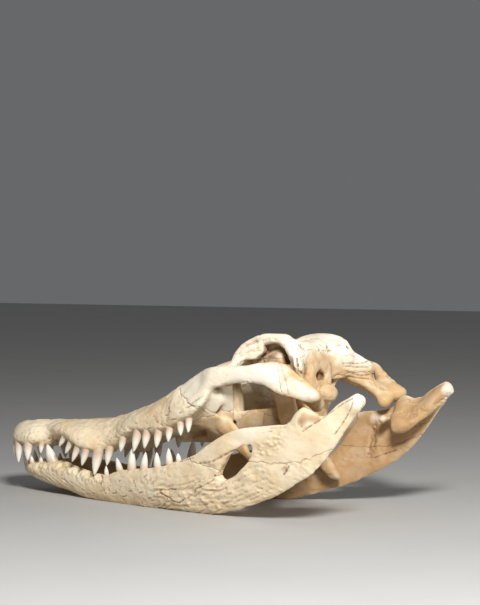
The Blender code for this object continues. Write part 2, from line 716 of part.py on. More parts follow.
def finish_bone(bone):
    bone.data.materials.clear()
    bone.data.materials.append(bone_material(bone.name))
    bone.data.shade_smooth()
    bone.data.set_sharp_from_angle(angle=math.radians(50))


# ------------------------------------------------------------------ assembly
def fuse_teeth(bone, teeth):
    """Join teeth to the bone that they grow from."""
    for tooth_piece in teeth:
        boolean(bone, tooth_piece, "UNION")
    settle(bone)
    for tooth_piece in teeth:
        bpy.data.objects.remove(tooth_piece)


def build_cranium(skull, tools):
    forms = [snout(skull), skull_roof(skull), braincase(skull)] + middle_forms(skull)
    for _, side in SIDES:
        forms += side_forms(side, skull)
    block = gather("cranium", forms, skull)
    blend(block, VOXEL, 4)
    for cutter in cranium_cutters(tools):
        boolean(block, cutter, "DIFFERENCE")
    settle(block)
    blend(block, VOXEL, 3)
    thin(block, CRANIUM_FACES)
    boolean(block, ball("condyle", *CONDYLE, tools, fineness=4), "UNION")
    settle(block)
    seeds = dict(CRANIUM_SEEDS)
    for name, side in SIDES:
        for bone, (x, y, z) in CRANIUM_SIDE_SEEDS.items():
            seeds[bone + "_" + name] = (x, y * side, z)
    bones = part_bones(block, cranium_sutures(tools), seeds, skull)
    front_teeth = []
    for name, side in SIDES:
        teeth = upper_teeth(side, tools)
        front_teeth += teeth[:PREMAXILLARY_TEETH]
        fuse_teeth(bones["maxilla_" + name], teeth[PREMAXILLARY_TEETH:])
    fuse_teeth(bones["premaxilla"], front_teeth)
    return bones


def build_jaw(name, side, skull, tools):
    block = gather("jaw", jaw_forms(side, skull), skull)
    blend(block, VOXEL, 4)
    for cutter in jaw_cutters(side, tools):
        boolean(block, cutter, "DIFFERENCE")
    settle(block)
    blend(block, VOXEL, 2)
    thin(block, JAW_FACES)
    for cutter in jaw_planes(side, tools):
        boolean(block, cutter, "DIFFERENCE")
    settle(block)
    seeds = {}
    for bone, (x, y, z) in JAW_SEEDS.items():
        seeds[bone + "_" + name] = (x, y * side, z)
    bones = part_bones(block, jaw_sutures(side, tools), seeds, skull)
    fuse_teeth(bones["dentary_" + name], lower_teeth(side, tools))
    return bones


def main():
    for leftover in list(bpy.data.objects):
        bpy.data.objects.remove(leftover)
    skull = new_collection("crocodile_skull")
    tools = new_collection("cutters")
    frame = bpy.data.objects.new("skull_frame", None)
    rest = bpy.data.objects.new("cranium_rest", None)
    skull.objects.link(frame)
    skull.objects.link(rest)
    frame.location = (-ORIGIN_X * MM, -ORIGIN_Y * MM, 0)
    rest.parent = frame
    rest.location = Vector(CRANIUM_SHIFT) * MM
    rest.rotation_euler = [math.radians(a) for a in CRANIUM_TURN]
    for bone in build_cranium(skull, tools).values():
        bone.parent = rest
        finish_bone(bone)
    for name, side in SIDES:
        for bone in build_jaw(name, side, skull, tools).values():
            bone.parent = frame
            finish_bone(bone)
    hide_tools(tools)
    bpy.context.view_layer.update()


main()
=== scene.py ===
# A crocodile skull at life size: weathered ivory bones that meet at their sutures, with white teeth.
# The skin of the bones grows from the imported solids, and the relief is carved into it in code.
import json
import math

import bmesh
import bpy
import numpy as np
from mathutils import Euler, Matrix, Vector
from mathutils.bvhtree import BVHTree
from mathutils.kdtree import KDTree

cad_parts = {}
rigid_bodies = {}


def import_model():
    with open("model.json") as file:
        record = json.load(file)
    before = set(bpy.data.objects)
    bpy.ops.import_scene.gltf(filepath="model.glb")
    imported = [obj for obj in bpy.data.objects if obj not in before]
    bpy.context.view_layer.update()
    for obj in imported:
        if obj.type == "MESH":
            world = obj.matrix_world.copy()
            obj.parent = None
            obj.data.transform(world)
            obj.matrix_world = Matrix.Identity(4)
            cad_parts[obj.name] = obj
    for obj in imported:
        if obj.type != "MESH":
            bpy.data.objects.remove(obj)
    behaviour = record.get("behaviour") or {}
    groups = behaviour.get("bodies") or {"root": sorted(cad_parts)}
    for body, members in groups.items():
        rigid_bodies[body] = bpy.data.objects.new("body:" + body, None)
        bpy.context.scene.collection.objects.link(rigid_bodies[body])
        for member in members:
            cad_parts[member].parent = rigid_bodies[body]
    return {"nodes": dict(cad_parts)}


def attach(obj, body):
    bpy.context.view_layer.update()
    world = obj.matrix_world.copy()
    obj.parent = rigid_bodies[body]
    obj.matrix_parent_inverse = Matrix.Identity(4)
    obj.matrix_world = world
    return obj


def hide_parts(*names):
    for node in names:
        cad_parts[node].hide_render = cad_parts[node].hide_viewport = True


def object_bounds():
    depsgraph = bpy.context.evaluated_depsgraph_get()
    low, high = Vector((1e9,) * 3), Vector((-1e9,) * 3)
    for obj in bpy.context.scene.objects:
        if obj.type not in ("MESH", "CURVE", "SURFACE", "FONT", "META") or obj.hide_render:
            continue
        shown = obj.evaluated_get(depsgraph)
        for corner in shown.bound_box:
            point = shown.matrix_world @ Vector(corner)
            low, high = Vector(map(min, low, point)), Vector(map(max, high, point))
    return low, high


for leftover in list(bpy.data.objects):
    bpy.data.objects.remove(leftover)

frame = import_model()
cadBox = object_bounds()
mm = 0.001
boxInset = 0.05 * mm  # how far every piece stays inside the box of the solids

# The photo's own view
view = {
    "azimuth": 33.552,
    "height": 1.863,
    "roll": -0.301,
    "distance": 2.5345,
    "target": (0.0595, -0.0113, 0.2572),
    "lens": 119.64,
    "sensor": 36.0,
    "picture": (480, 605),
}


def placeCamera():
    azimuth = math.radians(view["azimuth"])
    height = math.radians(view["height"])
    roll = math.radians(view["roll"])
    back = Vector((math.sin(azimuth) * math.cos(height), -math.cos(azimuth) * math.cos(height),
                   math.sin(height)))
    flat = Vector((math.cos(azimuth), math.sin(azimuth), 0))
    rise = back.cross(flat)
    right = flat * math.cos(roll) + rise * math.sin(roll)
    up = rise * math.cos(roll) - flat * math.sin(roll)
    place = Vector(view["target"]) + back * view["distance"]
    bpy.ops.object.camera_add(location=place)
    camera = bpy.context.object
    camera.name = "camera"
    camera.data.sensor_fit = "VERTICAL"
    camera.data.sensor_height = view["sensor"]
    camera.data.lens = view["lens"]
    camera.matrix_world = Matrix(((right.x, up.x, back.x, place.x),
                                  (right.y, up.y, back.y, place.y),
                                  (right.z, up.z, back.z, place.z), (0, 0, 0, 1)))
    bpy.context.scene.camera = camera
    return place, right, up, back


eye, eyeRight, eyeUp, eyeBack = placeCamera()


def sightLine(x, y):  # the way from the camera through a point of the picture
    width, height = view["picture"]
    scale = view["sensor"] / view["lens"] / height
    return (eyeRight * ((x - width / 2) * scale) + eyeUp * ((height / 2 - y) * scale)
            - eyeBack).normalized()


def pickOnly(*pieces):
    bpy.ops.object.select_all(action="DESELECT")
    for piece in pieces:
        piece.select_set(True)
    bpy.context.view_layer.objects.active = pieces[0]


def editAll(piece, work, **settings):  # one mesh operator on everything of a piece
    pickOnly(piece)
    bpy.ops.object.mode_set(mode="EDIT")
    bpy.ops.mesh.select_all(action="SELECT")
    work(**settings)
    bpy.ops.object.mode_set(mode="OBJECT")


def addCopy(name, mesh):
    copy = bpy.data.objects.new(name, mesh.copy())
    bpy.context.scene.collection.objects.link(copy)
    return copy


def applyModifier(piece, kind, **settings):
    pickOnly(piece)
    modifier = piece.modifiers.new(kind, kind)
    for name, value in settings.items():
        setattr(modifier, name, value)
    bpy.ops.object.modifier_apply(modifier=modifier.name)


def readValues(items, name, width=1, kind=float):  # one row of numbers for each item of a mesh
    values = np.empty(len(items) * width, kind)
    items.foreach_get(name, values)
    return values.reshape(-1, width) if width > 1 else values


def readPoints(piece):
    return readValues(piece.data.vertices, "co", 3)


def writePoints(piece, points):
    piece.data.vertices.foreach_set("co", np.ascontiguousarray(points).ravel())
    piece.data.update()


def keepInBox(points):
    return np.clip(points, np.array(cadBox[0]) + boxInset, np.array(cadBox[1]) - boxInset)


def writeMark(piece, name, values):  # one number a point, for the materials
    mark = piece.data.attributes.new(name, "FLOAT", "POINT")
    mark.data.foreach_set("value", np.clip(values, 0, 1).astype(np.float32))


def scatterNumber(cell, salt):  # a fixed number from 0 to 1 for each cell
    mixed = cell[..., 0] * 73856093 ^ cell[..., 1] * 19349663 ^ cell[..., 2] * 83492791
    mixed = (mixed ^ salt * 2654435761) & 0xFFFFFFFF
    mixed = (mixed ^ mixed >> 15) * 2246822519 & 0xFFFFFFFF
    mixed = (mixed ^ mixed >> 13) * 3266489917 & 0xFFFFFFFF
    return (mixed ^ mixed >> 16) / 0xFFFFFFFF


def waves(points, size, salt):  # smooth noise from about -1 to 1
    place = points / size
    cell = np.floor(place).astype(np.int64)
    inside = place - cell
    ease = inside**3 * (inside * (inside * 6 - 15) + 10)
    total = np.zeros(len(points))
    for corner in range(8):
        step = np.array((corner & 1, corner >> 1 & 1, corner >> 2 & 1))
        share = np.prod(np.where(step, ease, 1 - ease), axis=1)
        there = cell + step
        slope = np.stack([scatterNumber(there, salt * 3 + k) * 2 - 1 for k in range(3)], axis=1)
        total += share * np.sum(slope * (inside - step), axis=1)
    return total * 1.7


def pebbles(points, size, salt):  # distance to the nearest of the scattered centres, in sizes
    place = points / size
    cell = np.floor(place).astype(np.int64)
    nearest = np.full(len(points), 9.0)
    for i in range(27):
        there = cell + np.array((i % 3 - 1, i // 3 % 3 - 1, i // 9 - 1))
        centre = there + np.stack([scatterNumber(there, salt * 3 + 50 + k) for k in range(3)], 1)
        nearest = np.minimum(nearest, np.linalg.norm(place - centre, axis=1))
    return nearest


def fade(values, low, high):  # 0 below low, 1 above high
    share = np.clip((values - low) / (high - low), 0, 1)
    return share * share * (3 - 2 * share)


# Places on the skull and the jaws
pose = {
    "turn": (-2.8, -5.3, 1.3),
    "shift": (-11.2, -0.8, 28.4),
    "origin": (288.0, 11.3, 0.0),
}
skullTurn = Euler([math.radians(a) for a in pose["turn"]]).to_matrix()


def onSkull(place):  # millimetres back from the snout's tip, to the right and up
    return (skullTurn @ Vector(place) + Vector(pose["shift"]) - Vector(pose["origin"])) * mm


def onJaw(place):
    return (Vector(place) - Vector(pose["origin"])) * mm


def inSkull(points):
    return (points / mm + np.array(pose["origin"]) - np.array(pose["shift"])) @ np.array(skullTurn)


def inJaw(points):
    return points / mm + np.array(pose["origin"])


skull = {
    "voxel": 1.2,
    "facetRound": 0.9,
    "softness": 10,
    "middle": ["premaxilla", "nasal", "palatine", "frontal", "skull_table", "braincase",
               "pterygoid"],
    "paired": ["maxilla", "jugal", "quadrate", "ectopterygoid"],
    "jaw": ["dentary", "surangular", "angular", "articular"],
    "sutureGap": 0.45,
    "sutureSway": 2.6,
    "sutureDepth": 0.4,
    "borderDepth": 1.0,  # how far a bone's border turns in at a suture
    "capEdge": 8,  # longer edges of the faces that close a bone inside are cut
}


def gatherNodes(name, nodes):
    pickOnly(*[addCopy(node, frame["nodes"][node].data) for node in nodes])
    bpy.ops.object.join()
    piece = bpy.context.object
    piece.name = name
    editAll(piece, bpy.ops.mesh.remove_doubles, threshold=0.01 * mm)
    return piece


def openEdges(shape):
    return [edge for edge in shape.edges if len(edge.link_faces) == 1]


def openSutures(piece):  # takes out the walls that face each other
    gap = skull["sutureGap"] * mm
    shape = bmesh.new()
    shape.from_mesh(piece.data)
    shape.normal_update()
    tree = BVHTree.FromBMesh(shape)
    walls = []
    for face in shape.faces:
        start = face.calc_center_median() + face.normal * 0.01 * mm
        if tree.ray_cast(start, face.normal, gap)[0] is not None:
            walls.append(face)
    bmesh.ops.delete(shape, geom=walls, context="FACES")
    bmesh.ops.remove_doubles(shape, verts=shape.verts, dist=gap)
    bmesh.ops.holes_fill(shape, edges=openEdges(shape), sides=8)
    shape.to_mesh(piece.data)
    shape.free()


# Bone added to the cranium on both sides before it is fused, in millimetres
fillings = {
    "plates": (  # outer points of each, on one side, and its thickness
        (((402, 64, 131), (418, 64, 138), (436, 64, 141), (437, 62, 129), (424, 62, 120),
          (407, 62, 120)), 10),
        (((410, 46, 139), (463, 46, 140), (466, 46, 108), (410, 46, 111)), 6),
        (((465, 65, 144), (483, 65, 140), (493, 65, 124), (493, 65, 109), (482, 64, 106),
          (472, 62, 125)), 10),
        (((354, 2, 57), (391, 3, 52), (440, 6, 62), (440, 6, 30), (358, 2, 34)), 12),
        (((360, 92, 76), (388, 101, 94), (411, 99, 89), (408, 92, 71), (364, 86, 66)), 5),
        (((364, 87, 68), (408, 93, 73), (399, 82, 50), (390, 74, 34), (372, 75, 37),
          (350, 80, 47)), 5),
    ),
    "knobs": (((472, 48, 136), (12, 10, 3.5)),),
}


def addFillings():
    pieces = []
    for side in (-1, 1):
        for corners, thickness in fillings["plates"]:
            bpy.ops.mesh.primitive_cube_add(size=0.001)
            plate = bpy.context.object
            shape = bmesh.new()
            for x, y, z in corners:
                shape.verts.new(onSkull((x, y * side, z)))
                shape.verts.new(onSkull((x, (y - thickness) * side, z)))
            bmesh.ops.convex_hull(shape, input=shape.verts)
            shape.to_mesh(plate.data)
            shape.free()
            pieces.append(plate)
        for (x, y, z), radii in fillings["knobs"]:
            bpy.ops.mesh.primitive_uv_sphere_add(segments=24, ring_count=12, radius=mm,
                                                 location=onSkull((x, y * side, z)), scale=radii)
            pieces.append(bpy.context.object)
            bpy.ops.object.transform_apply(location=True, rotation=True, scale=True)
    return pieces


def fuseBones(name, nodes):  # one fine closed skin, its facets rounded
    rounded = gatherNodes(name, nodes)
    openSutures(rounded)
    for _ in range(2):
        editAll(rounded, bpy.ops.mesh.subdivide, number_cuts=1, smoothness=skull["facetRound"])
    filling = gatherNodes(name + "_filling", nodes)
    extra = addFillings() if name == "cranium" else []
    pickOnly(rounded, filling, *extra)
    bpy.ops.object.join()
    applyModifier(rounded, "REMESH", mode="VOXEL", voxel_size=skull["voxel"] * mm)
    applyModifier(rounded, "SMOOTH", factor=0.5, iterations=skull["softness"])
    pickOnly(rounded)
    bpy.ops.object.shade_smooth()
    return rounded


def boneOfFaces(piece, nodes):  # the nearest solid, with a wavy border
    points = []
    faces = []
    owners = []
    for owner, node in enumerate(nodes):
        mesh = frame["nodes"][node].data
        start = len(points)
        points += [v.co.copy() for v in mesh.vertices]
        for polygon in mesh.polygons:
            faces.append([start + i for i in polygon.vertices])
            owners.append(owner)
    tree = BVHTree.FromPolygons(points, faces)
    centres = readValues(piece.data.polygons, "center", 3)
    sway = skull["sutureSway"] * mm
    moved = centres + sway * np.stack([waves(centres, 5 * mm, 11 + k) for k in range(3)], axis=1)
    return np.array([owners[tree.find_nearest(c)[2]] for c in moved])


def splitBones(piece, nodes, owners):
    piece.data.materials.clear()
    nodeOf = {}
    for node in nodes:
        tag = bpy.data.materials.new(node)
        nodeOf[tag.name] = node
        piece.data.materials.append(tag)
    piece.data.polygons.foreach_set("material_index", owners)
    editAll(piece, bpy.ops.mesh.separate, type="MATERIAL")
    bones = {}
    for part in list(bpy.context.selected_objects):
        node = nodeOf[part.data.materials[0].name]
        part.name = "bone_" + node
        bones[node] = part
    return bones


def closeBone(piece, skin, depth):  # turns the border inwards and closes it inside the skin
    shape = bmesh.new()
    shape.from_mesh(piece.data)
    shape.normal_update()
    rim = openEdges(shape)
    inward = {}
    for edge in rim:
        for vert in edge.verts:
            inward[vert] = vert.normal.copy()
    made = bmesh.ops.extrude_edge_only(shape, edges=rim)
    fresh = [g for g in made["geom"] if isinstance(g, bmesh.types.BMVert)]
    for vert in fresh:
        old = [e.other_vert(vert) for e in vert.link_edges if e.other_vert(vert) in inward]
        if old:
            vert.co -= inward[old[0]] * depth
    cap = bmesh.ops.holes_fill(shape, edges=openEdges(shape), sides=0)["faces"]
    cap = set(bmesh.ops.triangulate(shape, faces=cap)["faces"])
    for _ in range(4):
        wide = [e for e in {e for f in cap for e in f.edges}
                if e.calc_length() > skull["capEdge"] * mm and all(f in cap for f in e.link_faces)]
        if not wide:
            break
        split = bmesh.ops.subdivide_edges(shape, edges=wide, cuts=1)
        cap = {f for f in cap if f.is_valid}
        cap |= {g for g in split["geom"] if isinstance(g, bmesh.types.BMFace)}
        cap |= {f for f in shape.faces if len(f.verts) > 4}
        for vert in {g for g in split["geom_inner"] if isinstance(g, bmesh.types.BMVert)}:
            spot, normal = skin.find_nearest(vert.co)[:2]
            if (vert.co - spot).dot(normal) > -depth:
                vert.co = spot - normal * depth
        many = [f for f in cap if len(f.verts) > 3]
        cap -= set(many)
        cap |= set(bmesh.ops.triangulate(shape, faces=many)["faces"])
    shape.to_mesh(piece.data)
    shape.free()


# The clay is the points of one fused skin while it is worked
markNames = ("tan", "pale", "warm", "seam", "hollowShadeAndMottle", "green", "white", "brown")


def startClay(piece):
    ends = readValues(piece.data.edges, "vertices", 2, np.int64)
    points = readPoints(piece)
    near = KDTree(len(points))
    for i, point in enumerate(points):
        near.insert(point, i)
    near.balance()
    place = inSkull(points) if piece.name == "cranium" else inJaw(points)
    return {
        "piece": piece,
        "points": points,
        "place": place,
        "normals": readValues(piece.data.vertices, "normal", 3),
        "ends": ends.T,
        "links": np.bincount(ends.ravel(), minlength=len(points)),
        "near": near,
        "skin": BVHTree.FromObject(piece, bpy.context.evaluated_depsgraph_get()),
        "marks": {name: np.zeros(len(points)) for name in markNames},
    }


def soften(clay, values, rounds):  # each point takes on its neighbours' values
    a, b = clay["ends"]
    size = len(values)
    for _ in range(rounds):
        around = np.bincount(a, values[b], size) + np.bincount(b, values[a], size)
        values = 0.5 * values + 0.5 * around / clay["links"]
    return values


def softPoints(clay, rounds):
    return np.stack([soften(clay, clay["points"][:, k], rounds) for k in range(3)], axis=1)


def ease(clay, share, rounds):  # smooths the shape where share is 1
    clay["points"] += (softPoints(clay, rounds) - clay["points"]) * share[:, None]


def lift(clay, heights):  # millimetres outwards at each point
    clay["points"] += clay["normals"] * (heights * mm)[:, None]


# Lays a mark: real staining, and painted shade where the mark follows occlusion, hollows and
# shadowed faces
def paintStainAndShade(clay, name, amount):
    clay["marks"][name] = np.maximum(clay["marks"][name], amount)


def touched(clay, spots, radius):  # 1 at the spots, fading to 0 at the radius in millimetres
    reach = radius * mm
    share = np.zeros(len(clay["points"]))
    normals = clay["normals"]
    for spot in spots:
        face = normals[clay["near"].find(spot)[1]]
        found = clay["near"].find_range(spot, reach)
        index = np.array([f[1] for f in found], np.int64)
        if len(index):
            amount = (1 - (np.array([f[2] for f in found]) / reach) ** 2) ** 2
            amount[normals[index] @ face < 0.1] = 0  # not the back of a thin plate
            share[index] = np.maximum(share[index], amount)
    return share


def traced(clay, route):  # places on the skin along a route of picture points
    spots = []
    for (x0, y0), (x1, y1) in zip(route, route[1:] or route):
        count = max(1, round(math.hypot(x1 - x0, y1 - y0) * 2))
        for i in range(count + 1):
            line = sightLine(x0 + (x1 - x0) * i / count, y0 + (y1 - y0) * i / count)
            spot = clay["skin"].ray_cast(eye, line)[0]
            if spot is not None:
                spots.append(spot)
    return spots


def otherSide(name, spot):
    if name == "cranium":
        x, y, z = inSkull(np.array([spot]))[0]
        return onSkull((x, -y, z))
    x, y, z = inJaw(np.array([spot]))[0]
    return onJaw((x, -y, z))


twinNames = {"cranium": "cranium", "jaw_left": "jaw_right", "jaw_right": "jaw_left"}


def carve(name, routes, width, depth, twin=True, **stainAndShadeMarks):
    for route in routes:
        spots = traced(clays[name], route)
        work = [(clays[name], spots)]
        if twin:
            twinClay = clays[twinNames[name]]
            work.append((twinClay, [twinClay["near"].find(otherSide(name, s))[0] for s in spots]))
        for clay, places in work:
            share = touched(clay, places, width)
            some = share > 0
            uneven = np.zeros(len(share))
            if depth:
                uneven[some] = 0.7 + 0.6 * waves(clay["points"][some], 4 * mm, 91)
            else:
                uneven[some] = 0.85 + 0.4 * waves(clay["points"][some], 13 * mm, 92)
            lift(clay, -depth * share * np.clip(uneven, 0.3, 1.3))
            for mark, strength in stainAndShadeMarks.items():
                core = np.clip(share * 2 - 0.6, 0, 1) if mark == "brown" else np.sqrt(share)
                paintStainAndShade(clay, mark, strength * core * np.clip(uneven, 0.2, 1))


def onBothJaws(route):  # the left jaw with the places of a route, and the right with their twins
    spots = traced(clays["jaw_left"], route)
    return ((clays["jaw_left"], spots),
            (clays["jaw_right"], [otherSide("jaw_left", spot) for spot in spots]))


shade = {
    "every": 5,  # one point in so many is tested, and the rest take it from their neighbours
    "tilt": 0.9,
    "reach": 45,
    "rounds": 9,
}


def shelter(clay):  # how much of the sky each point misses, from 0 to 1
    tilts = [Vector(t) * shade["tilt"] for t in ((1, 0, 0), (-1, 0, 0), (0, 1, 0), (0, -1, 0),
                                                 (0, 0, 1), (0, 0, -1))]
    missed = np.zeros(len(clay["points"]))
    known = np.zeros(len(clay["points"]))
    for i in range(0, len(missed), shade["every"]):
        normal = Vector(clay["normals"][i])
        start = Vector(clay["points"][i]) + normal * 0.5 * mm
        hits = 0
        for tilt in tilts:
            if clay["skin"].ray_cast(start, normal + tilt, shade["reach"] * mm)[0] is not None:
                hits += 1
        missed[i] = hits / len(tilts)
        known[i] = 1
    rounds = shade["rounds"]
    return soften(clay, missed, rounds) / np.maximum(soften(clay, known, rounds), 1e-6)


def ownerRange(piece, owners, corners, count):  # lowest and highest bone that meets at each item
    perCorner = np.repeat(owners, readValues(piece.data.polygons, "loop_total", 1, np.int64))
    low = np.full(count, 99)
    high = np.full(count, -1)
    np.minimum.at(low, corners, perCorner)
    np.maximum.at(high, corners, perCorner)
    return low, high


def bonesOfPoints(piece, owners):
    corners = readValues(piece.data.loops, "vertex_index", 1, np.int64)
    return ownerRange(piece, owners, corners, len(piece.data.vertices))


# The teeth: place, length, half width and forward lean of each, from the front back
toothRows = {
    "upper": ((6, 14, 3.0, 0.1), (14, 20, 3.6, 0.1), (25, 26, 4.6, 0.0), (46, 22, 5.2, 0.05),
              (66, 13, 3.2, 0.1), (113, 15, 3.4, 0.7), (126, 16, 3.6, 0.6), (141, 20, 4.0, 0.5),
              (155, 20, 4.4, 0.35), (173, 29, 6.0, 0.2), (191, 21, 4.6, 0.2),
              (219, 16, 4.2, 0.2), (251, 24, 5.0, 0.25), (270, 19, 4.6, 0.2),
              (292, 18, 4.4, 0.15), (313, 15, 4.0, 0.1), (333, 14, 3.8, -0.05),
              (348, 16, 3.8, 0.05)),
    "lower": ((7, 18, 3.4, 0.3), (22, 12, 3.0, 0.2), (40, 9, 2.8, 0.1), (63, 25, 6.6, 0.35),
              (174, 13, 2.8, 0.0), (201, 17, 3.8, 0.25), (225, 28, 5.0, -0.1),
              (249, 22, 4.4, -0.2), (275, 19, 4.2, 0.0), (297, 20, 4.2, 0.0),
              (314, 10, 3.2, 0.05)),
    "premaxillary": 5,
    "inset": 6,
    "snoutHalfWidth": ((-2, 3), (2, 14), (12, 29), (32, 42), (54, 46), (78, 39), (92, 45),
                       (120, 56), (150, 64), (188, 61), (225, 72), (270, 88), (320, 102),
                       (356, 109)),
    "snoutMargin": ((-2, 38), (2, 34), (15, 31), (50, 28), (68, 28), (90, 39), (108, 37),
                    (128, 26), (150, 17), (173, 12), (195, 17), (222, 29), (240, 35), (290, 33),
                    (333, 43), (356, 51)),
    "jawOuter": ((0, 6), (8, 18), (22, 29), (60, 40), (100, 48), (150, 58), (200, 70),
                 (250, 84), (300, 96), (350, 105)),
    "jawInner": ((0, -3), (72, -3), (100, 13), (150, 28), (200, 43), (250, 57), (300, 70),
                 (340, 81)),
    "jawTop": ((0, 34), (20, 38), (88, 44), (125, 38), (172, 34), (205, 44), (266, 52),
               (303, 61), (338, 72)),
    "upperSplay": 0.12,
    "lowerSplay": 0.1,
    "rowPlace": 0.42,  # share of the way from the jaw's outer face to its inner one
    "long": 24,  # a longer tooth has its stub cleared upright too
    "collar": 2.1,  # reach of the raised bone round a root, in half widths
    "collarRise": 1.2,
    "collarStain": 3,
}
toothShape = {  # in root radii across and tooth lengths along
    "sides": 18,
    "rings": 14,
    "fullness": 1.25,
    "flatness": 0.88,
    "rootDepth": 0.35,
    "rise": 1.34,
    "tipHeight": 0.985,
    "tipGirth": 0.05,
    "taper": 0.12,
    "hook": 0.05,
}
stub = {"girth": 1.45, "taper": 0.5, "spare": 1.2, "sink": 0.62, "narrow": 0.45}


def along(knots, x):  # smooth value between knots, never overshooting them
    xs = np.array([k[0] for k in knots], float)
    ys = np.array([k[1] for k in knots], float)
    slopes = np.diff(ys) / np.diff(xs)
    tangents = np.zeros(len(xs))
    tangents[0] = slopes[0]
    tangents[-1] = slopes[-1]
    for i in range(1, len(xs) - 1):
        if slopes[i - 1] * slopes[i] > 0:
            tangents[i] = 2 * slopes[i - 1] * slopes[i] / (slopes[i - 1] + slopes[i])
    x = min(max(x, xs[0]), xs[-1])
    i = min(int(np.searchsorted(xs, x, side="right")) - 1, len(xs) - 2)
    step = xs[i + 1] - xs[i]
    t = (x - xs[i]) / step
    start = (2 * t**3 - 3 * t**2 + 1) * ys[i] + (t**3 - 2 * t**2 + t) * step * tangents[i]
    end = (3 * t**2 - 2 * t**3) * ys[i + 1] + (t**3 - t**2) * step * tangents[i + 1]
    return float(start + end)


def toothPlaces():  # for each tooth: its bone, root, axis, backward way, length and half width
    places = []
    for side, sideName in ((-1, "_left"), (1, "_right")):
        for count, (x, length, halfWidth, forward) in enumerate(toothRows["upper"]):
            y = (along(toothRows["snoutHalfWidth"], x) - toothRows["inset"]) * side
            root = (x, y, along(toothRows["snoutMargin"], x) + 2)
            lean = Vector((-forward, toothRows["upperSplay"] * side, -1)).normalized()
            front = count < toothRows["premaxillary"]
            bone = "premaxilla" if front else "maxilla" + sideName
            places.append((bone, "cranium", onSkull(root), skullTurn @ lean,
                           skullTurn @ Vector((1, 0, 0)), length * mm, halfWidth * mm))
        for x, length, halfWidth, forward in toothRows["lower"]:
            outer = along(toothRows["jawOuter"], x)
            inner = max(along(toothRows["jawInner"], x), 0)
            y = (outer - toothRows["rowPlace"] * (outer - inner)) * side
            root = (x, y, along(toothRows["jawTop"], x) - 1)
            lean = Vector((-forward, toothRows["lowerSplay"] * side, 1)).normalized()
            places.append(("dentary" + sideName, "jaw" + sideName, onJaw(root), lean,
                           Vector((1, 0, 0)), length * mm, halfWidth * mm))
    return places


def shrinkStub(clay, root, lean, length, halfWidth):  # room for the finished tooth
    offset = clay["points"] - np.array(root)
    rise = offset @ np.array(lean)
    aside = offset - rise[:, None] * np.array(lean)
    far = np.linalg.norm(aside, axis=1)
    girth = halfWidth * (stub["girth"] - stub["taper"] * np.clip(rise / length, 0, 1))
    girth = girth + stub["spare"] * mm
    inside = (rise > 0.5 * mm) & (rise < length + 2 * mm) & (far < girth)
    clay["points"][inside] -= (rise * stub["sink"])[inside, None] * np.array(lean)
    clay["points"][inside] -= aside[inside] * stub["narrow"]


def makeToothModel():  # one unit tooth, a circle drawn out ring by ring to a hooked point
    height = -toothShape["rootDepth"]
    bpy.ops.mesh.primitive_circle_add(vertices=toothShape["sides"], radius=1, fill_type="NGON",
                                      location=(0, 0, height))
    tooth = bpy.context.object
    tooth.name = "tooth_model"
    bpy.ops.object.transform_apply(location=True, rotation=False, scale=False)
    bpy.ops.object.mode_set(mode="EDIT")
    bpy.ops.mesh.select_all(action="SELECT")
    bpy.ops.mesh.flip_normals()
    rings = toothShape["rings"]
    tip = toothShape["tipGirth"]
    girth = 1.0
    for i in range(1, rings + 1):
        share = i / rings
        nextHeight = -toothShape["rootDepth"] + toothShape["rise"] * share
        below = nextHeight < toothShape["tipHeight"]
        nextGirth = (1 - max(nextHeight, 0) ** 2.1) ** 0.8 if below else tip
        nextGirth = max(nextGirth * (1 - toothShape["taper"] * share), tip)
        bow = toothShape["hook"] * (nextHeight - height) * (1 - 2.4 * nextHeight)
        bpy.ops.mesh.extrude_region_move(
            TRANSFORM_OT_translate={"value": (-bow, 0, nextHeight - height)})
        bpy.ops.transform.resize(value=(nextGirth / girth, nextGirth / girth, 1))
        height = nextHeight
        girth = nextGirth
    bpy.ops.mesh.select_all(action="SELECT")
    bpy.ops.mesh.normals_make_consistent(inside=False)
    bpy.ops.object.mode_set(mode="OBJECT")
    bpy.ops.object.shade_smooth()
    writeMark(tooth, "rise", readPoints(tooth)[:, 2])
    return tooth


def placeTooth(model, root, lean, back, length, halfWidth):
    tooth = addCopy("tooth", model.data)
    side = lean.cross(back).normalized()
    way = side.cross(lean)
    girth = halfWidth * toothShape["fullness"]
    flat = toothShape["flatness"]
    rows = [(way[k] * girth, side[k] * girth * flat, lean[k] * length, root[k]) for k in range(3)]
    tooth.data.transform(Matrix((*rows, (0, 0, 0, 1))))
    return tooth


pairedNodes = [name + side for name in skull["paired"] for side in ("_left", "_right")]
groups = {
    "cranium": skull["middle"] + pairedNodes,
    "jaw_left": [name + "_left" for name in skull["jaw"]],
    "jaw_right": [name + "_right" for name in skull["jaw"]],
}


# Working the clay
relief = {  # depth of the lumps and of the pits in millimetres, by bone
    "premaxilla": (0.9, 1.1),
    "nasal": (0.7, 0.5),
    "palatine": (0.3, 0.0),
    "frontal": (0.7, 1.3),
    "skull_table": (0.7, 0.8),
    "braincase": (1.1, 0.3),
    "pterygoid": (0.7, 0.0),
    "maxilla": (1.2, 0.8),
    "jugal": (0.7, 0.6),
    "quadrate": (0.9, 0.2),
    "ectopterygoid": (0.4, 0.0),
    "dentary": (0.9, 1.0),
    "surangular": (0.55, 0.3),
    "angular": (1.1, 0.6),
    "articular": (0.6, 0.1),
}
grain = {  # sizes of the lumps and pits in millimetres
    "lumps": 13,
    "small": 5.5,
    "smallest": 3.2,
    "pits": ((4.6, 0.7, 5), (7.0, 0.55, 9)),  # size, share lengthwise, salt
    "pitted": 17,
    "calm": 38,
    "lengthwise": 0.6,
    "spread": 8,
}


def kindOf(node):  # a bone's name without its side
    return node.replace("_left", "").replace("_right", "")


